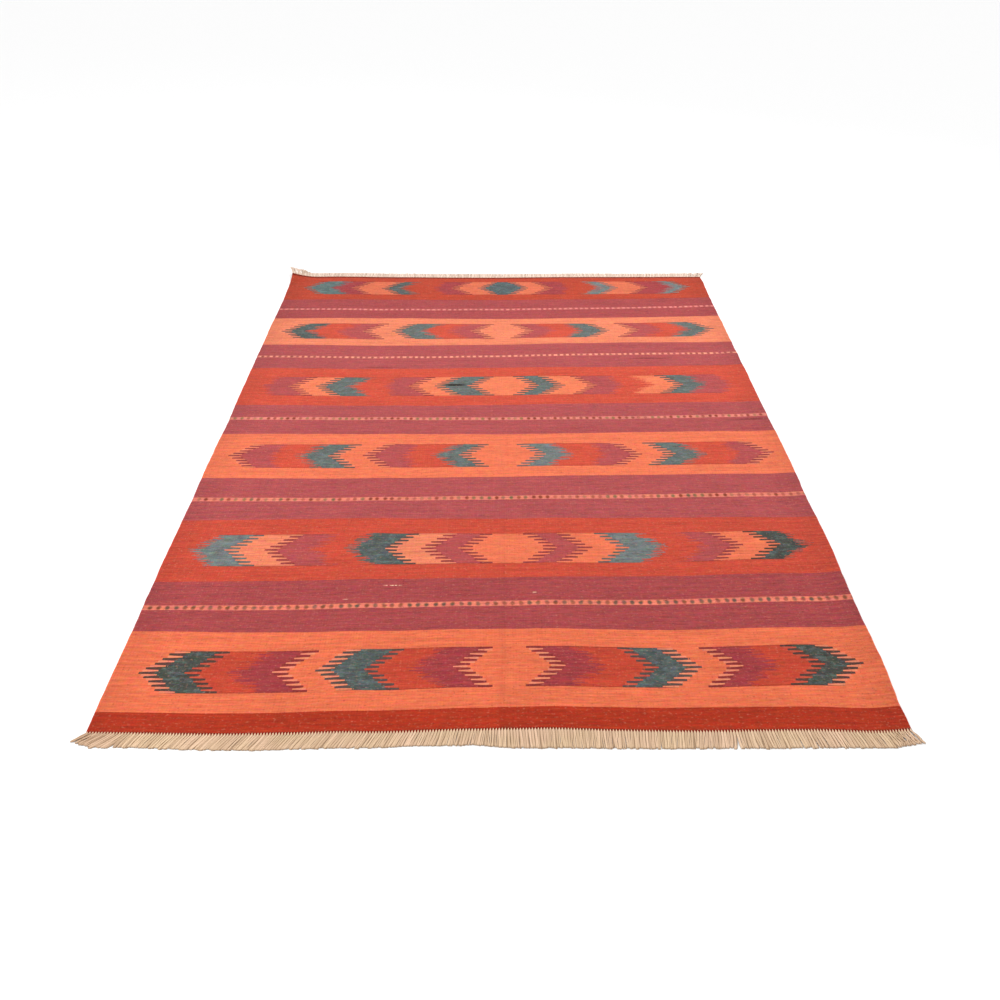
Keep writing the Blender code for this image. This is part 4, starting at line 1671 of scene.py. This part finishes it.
@dataclass
class Fringe:
    """The cut warp strings of one end: two side by side from each bundle, and one below them.

    Heights over the floor and over the cloth's underside are in the strings' own radii, first for the
    upper strings and then for the lower one.
    """

    end: RugEnd
    lie: Lie
    finish: CottonWarp
    seed: int
    far_cut: float = 0.0430
    trim: float = 0.0009
    inset: float = 0.0030
    radius: float = 0.00155
    strand_places: tuple[float, ...] = (-0.5, 0.5, 1.15)
    pair_gap: float = 0.0022
    lower_gap: float = BUNDLE_PITCH / 2.3
    tip_spread: float = 0.15
    root_heights: tuple[float, float] = (1.35, 0.55)
    tip_heights: tuple[float, float] = (0.9, 0.5)
    settle_rate: float = 3.0
    droop: float = 0.008

    # The strings' own bends, which are wilder near the corners.
    lean_scatter: float = 1.0
    aside_scatter: float = 0.0004
    sway: float = 0.0006
    bend_turns: tuple[float, float] = (0.5, 1.1)
    ride: float = 0.0010
    curly_from: float = 0.790
    curly_reach: float = 0.030
    curl_sway: float = 2.5
    curl_turns: float = 1.6
    curl_ride: float = 0.0024

    clump_sizes: tuple[int, ...] = (4, 3, 5, 4, 6, 3)
    clump_pull: float = 0.0005
    parting_reach: float = 0.030
    tuft_from: float = 0.040
    tuft_reach: float = 0.080
    tuft_rise: float = 0.0180

    # The strings' tones, from 0 for the greyest to 1. The near end's strings are darker towards its left
    # corner.
    least_tone: float = 0.45
    tone_scatter: float = 0.1
    left_darkening_reach: float = 0.130
    left_darkening: float = 0.50

    rings: int = 12
    sides: int = 6
    girth_seed: int = 100
    girths: tuple[float, float] = (0.94, 1.10)
    tip_swell: float = 0.18
    tip_taper: float = 0.72
    flatness: float = 0.80
    floor_gap: float = 0.0001

    def clump_offsets(self) -> list[float]:
        """Gathers the bundles into clumps.

        Returns:
            Each bundle's place in its clump, from -1 to 1.
        """
        offsets: list[float] = []
        turn = 0
        while len(offsets) < BUNDLES_PER_END:
            size = self.clump_sizes[turn % len(self.clump_sizes)]
            offsets += [2.0 * k / (size - 1) - 1.0 for k in range(size)]
            turn += 1
        return offsets[:BUNDLES_PER_END]

    def parted(self, across: float) -> float:
        """How far a tip is pushed aside by the partings near it.

        Args:
            across: the string's place across.

        Returns:
            How far the tip stands towards +X for it.
        """
        if self.end is RugEnd.FAR:
            return 0.0
        push = 0.0
        for p in PARTINGS:
            aside = across - p.across
            push += math.copysign(p.width / 2, aside) * math.exp(-abs(aside) / self.parting_reach)
        return push

    def tuft(self, from_left: float) -> float:
        """How far a tip stands up where the cloth's far left corner curls.

        Args:
            from_left: the string's distance from the left selvedge.

        Returns:
            The tip's extra height.
        """
        if self.end is RugEnd.NEAR:
            return 0.0
        over = min(1.0, max(0.0, (from_left - self.tuft_from) / (self.tuft_reach - self.tuft_from)))
        return self.tuft_rise * (1.0 - over**2 * (3.0 - 2.0 * over))

    def strings(self) -> list[tuple[Places, float]]:
        """Lays out the strings.

        Returns:
            For each string its centre line, one point a ring, and its tone from 0 to 1.
        """
        near = self.end is RugEnd.NEAR
        draw = random.Random(self.seed)
        leans, stations = column_of(LEANS, self.end.column), column_of(LEANS, "across")
        cuts = column_of(LEANS, "near_cut") if near else np.full(len(LEANS), self.far_cut)
        t = np.linspace(0.0, 1.0, self.rings)
        laid = []
        for bundle, clump in enumerate(self.clump_offsets()):
            from_left = (bundle + 0.5) * BUNDLE_PITCH
            across = from_left - FIELD_WIDTH / 2
            x0, y0, z0 = (float(c) for c in self.lie.place(np.array(across), np.array(self.end.along)))
            lean = float(curve_through(stations, leans, across)) + draw.gauss(0.0, self.lean_scatter)
            slope = math.tan(math.radians(lean))
            cut = float(curve_through(stations, cuts, across)) + draw.gauss(0.0, self.trim)
            aside = -clump * self.clump_pull + draw.gauss(0.0, self.aside_scatter)
            parted, tuft = self.parted(across), self.tuft(from_left)
            curl = min(1.0, max(0.0, (abs(across) - self.curly_from) / self.curly_reach))
            tone = self.least_tone + (1.0 - self.least_tone) * draw.random()
            # The near end's strings are darker towards its left corner.
            if near:
                tone -= self.left_darkening * float(hump(from_left, self.left_darkening_reach))
            for strand in self.strand_places:
                below = strand == self.strand_places[-1]
                phase = draw.uniform(0.0, 2.0 * math.pi)
                turns = draw.uniform(self.bend_turns[0], self.bend_turns[1] + self.curl_turns * curl)
                bend = self.sway * (1.0 + self.curl_sway * curl) * t**0.5
                bend = bend * (np.sin(phase + 2.0 * math.pi * turns * t) - math.sin(phase))
                ride = draw.uniform(0.0, self.ride + self.curl_ride * curl) * np.sin(math.pi * t)
                length = cut + draw.gauss(0.0, self.trim / 2)
                out = -self.inset + (length + self.inset) * t
                gone = np.maximum(0.0, out) / length
                gap = self.lower_gap if below else self.pair_gap
                x = x0 + strand * gap * (1.0 + self.tip_spread * gone) + length * slope * gone
                x = x + aside * gone**2 + parted * gone**3 + bend
                root = z0 + self.radius * self.root_heights[below]
                tip = np.maximum(0.0, z0 - self.droop * gone**2) + self.radius * self.tip_heights[below]
                z = root + (tip - root) * np.minimum(1.0, gone * self.settle_rate) + tuft * gone
                z = z + ride * (not below)
                line = np.stack([x, y0 + self.end.outward * out, z], axis=1)
                scatter = self.tone_scatter
                # The lower string takes tone 0, the greyest, as painted shade under the upper two.
                laid.append((line, 0.0 if below else tone + draw.uniform(-scatter, scatter)))
        return laid

    def tube_points(self, line: Places, girth: Places) -> Places:
        """Sweeps a string's rings along its centre line.

        Args:
            line: the centre line's points.
            girth: the radius at each of them.

        Returns:
            The rings' points, one ring after another.
        """
        around = np.arange(self.sides) * 2.0 * math.pi / self.sides
        forward = np.gradient(line, axis=0)
        forward /= np.linalg.norm(forward, axis=1)[:, None]
        sideways = np.cross(forward, (0.0, 0.0, 1.0))
        sideways /= np.linalg.norm(sideways, axis=1)[:, None]
        upward = np.cross(sideways, forward)
        rings = (
            line[:, None, :]
            + girth[:, None, None] * np.cos(around)[None, :, None] * sideways[:, None, :]
            + self.flatness * girth[:, None, None] * np.sin(around)[None, :, None] * upward[:, None, :]
        )
        rings[:, :, 2] = np.maximum(rings[:, :, 2], self.floor_gap)
        return rings.reshape(-1, 3)

    def tube_faces(self, start: int) -> tuple[list[tuple[int, ...]], list[tuple[float, float]]]:
        """Closes a string's rings into a tube.

        Args:
            start: the number of the tube's first point.

        Returns:
            The tube's faces, and the place on the "Strand" map of each of their corners.
        """
        faces: list[tuple[int, ...]] = []
        uvs: list[tuple[float, float]] = []
        for k in range(self.rings - 1):
            low, high = start + k * self.sides, start + (k + 1) * self.sides
            v0, v1 = (self.far_cut * share / (self.rings - 1) for share in (k, k + 1))
            for s in range(self.sides):
                following = (s + 1) % self.sides
                faces.append((low + s, low + following, high + following, high + s))
                u0, u1 = s / self.sides, (s + 1) / self.sides
                uvs += [(u0, v0), (u1, v0), (u1, v1), (u0, v1)]
        last = start + (self.rings - 1) * self.sides
        faces.append(tuple(start + s for s in reversed(range(self.sides))))
        faces.append(tuple(last + s for s in range(self.sides)))
        uvs += [(s / self.sides, v) for v in (0.0, self.far_cut) for s in range(self.sides)]
        return faces, uvs

    def mesh(self) -> bpy.types.Mesh:
        """Builds the strings as closed tubes.

        Returns:
            A mesh with the "Strand" map and each string's tone.
        """
        draw = random.Random(self.girth_seed + self.seed)
        shares = np.linspace(0.0, 1.0, self.rings)
        per_string = self.rings * self.sides
        points, tones, faces, uvs = [], [], [], []
        for number, (line, tone) in enumerate(self.strings()):
            girth = self.radius * draw.uniform(*self.girths) * (1.0 + self.tip_swell * shares**2)
            girth[-1] *= self.tip_taper
            points.append(self.tube_points(line, girth))
            tones.append(np.full(per_string, tone))
            tube, places = self.tube_faces(number * per_string)
            faces += tube
            uvs += places
        mesh = bpy.data.meshes.new("warp_strings")
        mesh.from_pydata(np.concatenate(points).tolist(), [], faces)
        mesh.uv_layers.new(name="Strand").data.foreach_set("uv", np.array(uvs, np.float32).ravel())
        tone_of = mesh.attributes.new("tone", "FLOAT", "POINT")
        tone_of.data.foreach_set("value", np.concatenate(tones).astype(np.float32))
        mesh.update()
        bm = bmesh.new()
        bm.from_mesh(mesh)
        bmesh.ops.recalc_face_normals(bm, faces=bm.faces[:])
        bm.to_mesh(mesh)
        bm.free()
        mesh.shade_smooth()
        return mesh

    def build(self) -> bpy.types.Object:
        """Returns:
            The fringe's object.
        """
        piece = bpy.data.objects.new(self.end.node.replace("fringe", "warp_fringe"), self.mesh())
        bpy.context.scene.collection.objects.link(piece)
        piece.data.materials.append(self.finish.material())
        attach(piece, "root")
        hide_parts(self.end.node)
        return piece


@dataclass
class Studio:
    """The plain floor, the soft light and the camera."""

    floor_size: float = 60.0
    floor_drop: float = 0.0002
    sky_strength: float = 1.095
    lamp_size: float = 1.4
    left_lamp_place: tuple[float, float, float] = (-3.0, -1.3, 2.2)
    left_lamp_watts: float = 50.0
    far_lamp_place: tuple[float, float, float] = (0.8, 1.4, 2.2)
    far_lamp_watts: float = 28.0
    camera_place: tuple[float, float, float] = (-0.005, -2.5586, 1.504)
    camera_pitch: float = 34.85
    camera_turn: float = 0.28
    lens: float = 34.06
    sensor_width: float = 36.0
    sight: float = 200.0

    def floor(self, finish: FloorPaint) -> bpy.types.Object:
        """Lays the floor.

        Args:
            finish: the floor's paint.

        Returns:
            The floor's object.
        """
        bm = bmesh.new()
        bmesh.ops.create_grid(bm, x_segments=1, y_segments=1, size=self.floor_size / 2)
        mesh = bpy.data.meshes.new("studio_floor")
        bm.to_mesh(mesh)
        bm.free()
        mesh.materials.append(finish.material())
        piece = bpy.data.objects.new("studio_floor", mesh)
        piece.location.z = -self.floor_drop
        bpy.context.scene.collection.objects.link(piece)
        return piece

    def surround(self) -> None:
        """Hangs an even white surround."""
        world = bpy.data.worlds.new("white_surround")
        world.use_nodes = True
        background = world.node_tree.nodes["Background"]
        background.inputs["Color"].default_value = (1.0, 1.0, 1.0, 1.0)
        background.inputs["Strength"].default_value = self.sky_strength
        bpy.context.scene.world = world

    def lamp(self, name: str, place: tuple[float, float, float], watts: float) -> None:
        """Hangs one broad soft lamp that faces the middle of the rug.

        Args:
            name: the lamp's name.
            place: where it hangs.
            watts: its power.
        """
        data = bpy.data.lights.new(name, "AREA")
        data.shape = "SQUARE"
        data.size = self.lamp_size
        data.energy = watts
        lamp = bpy.data.objects.new(name, data)
        lamp.location = place
        lamp.rotation_mode = "QUATERNION"
        lamp.rotation_quaternion = (-Vector(place)).to_track_quat("-Z", "Y")
        bpy.context.scene.collection.objects.link(lamp)

    def camera(self) -> bpy.types.Object:
        """Sets up the camera at a standing person's eye height before the near end.

        Returns:
            The camera.
        """
        data = bpy.data.cameras.new("studio_camera")
        data.sensor_width = self.sensor_width
        data.lens = self.lens
        data.clip_end = self.sight
        camera = bpy.data.objects.new("studio_camera", data)
        camera.location = self.camera_place
        camera.rotation_euler = (
            math.radians(90.0 - self.camera_pitch), 0.0, math.radians(-self.camera_turn)
        )
        bpy.context.scene.collection.objects.link(camera)
        bpy.context.scene.camera = camera
        bpy.context.scene.view_settings.view_transform = "Standard"
        return camera


def report(piece: bpy.types.Object) -> None:
    """Logs a finished piece with its size."""
    size = " x ".join(f"{1000 * d:.1f}" for d in piece.dimensions)
    LOG.info("%s: %d faces, %s mm", piece.name, len(piece.data.polygons), size)


def main() -> None:
    """Builds the rug around its frame, and the studio around the rug."""
    logging.basicConfig(level=logging.INFO, format="%(name)s: %(message)s")
    studio = Studio()
    studio.camera()
    studio.surround()
    studio.lamp("left_lamp", studio.left_lamp_place, studio.left_lamp_watts)
    studio.lamp("far_lamp", studio.far_lamp_place, studio.far_lamp_watts)
    report(studio.floor(FloorPaint()))
    lie = Lie()
    cotton = CottonWarp()
    fringes = []
    for end, seed in ((RugEnd.NEAR, 11), (RugEnd.FAR, 23)):
        piece = Fringe(end=end, lie=lie, finish=cotton, seed=seed).build()
        report(piece)
        fringes.append(piece)
    report(WovenField(lie=lie, finish=WoolWeft()).build(fringes))


if __name__ == "__main__":
    main()
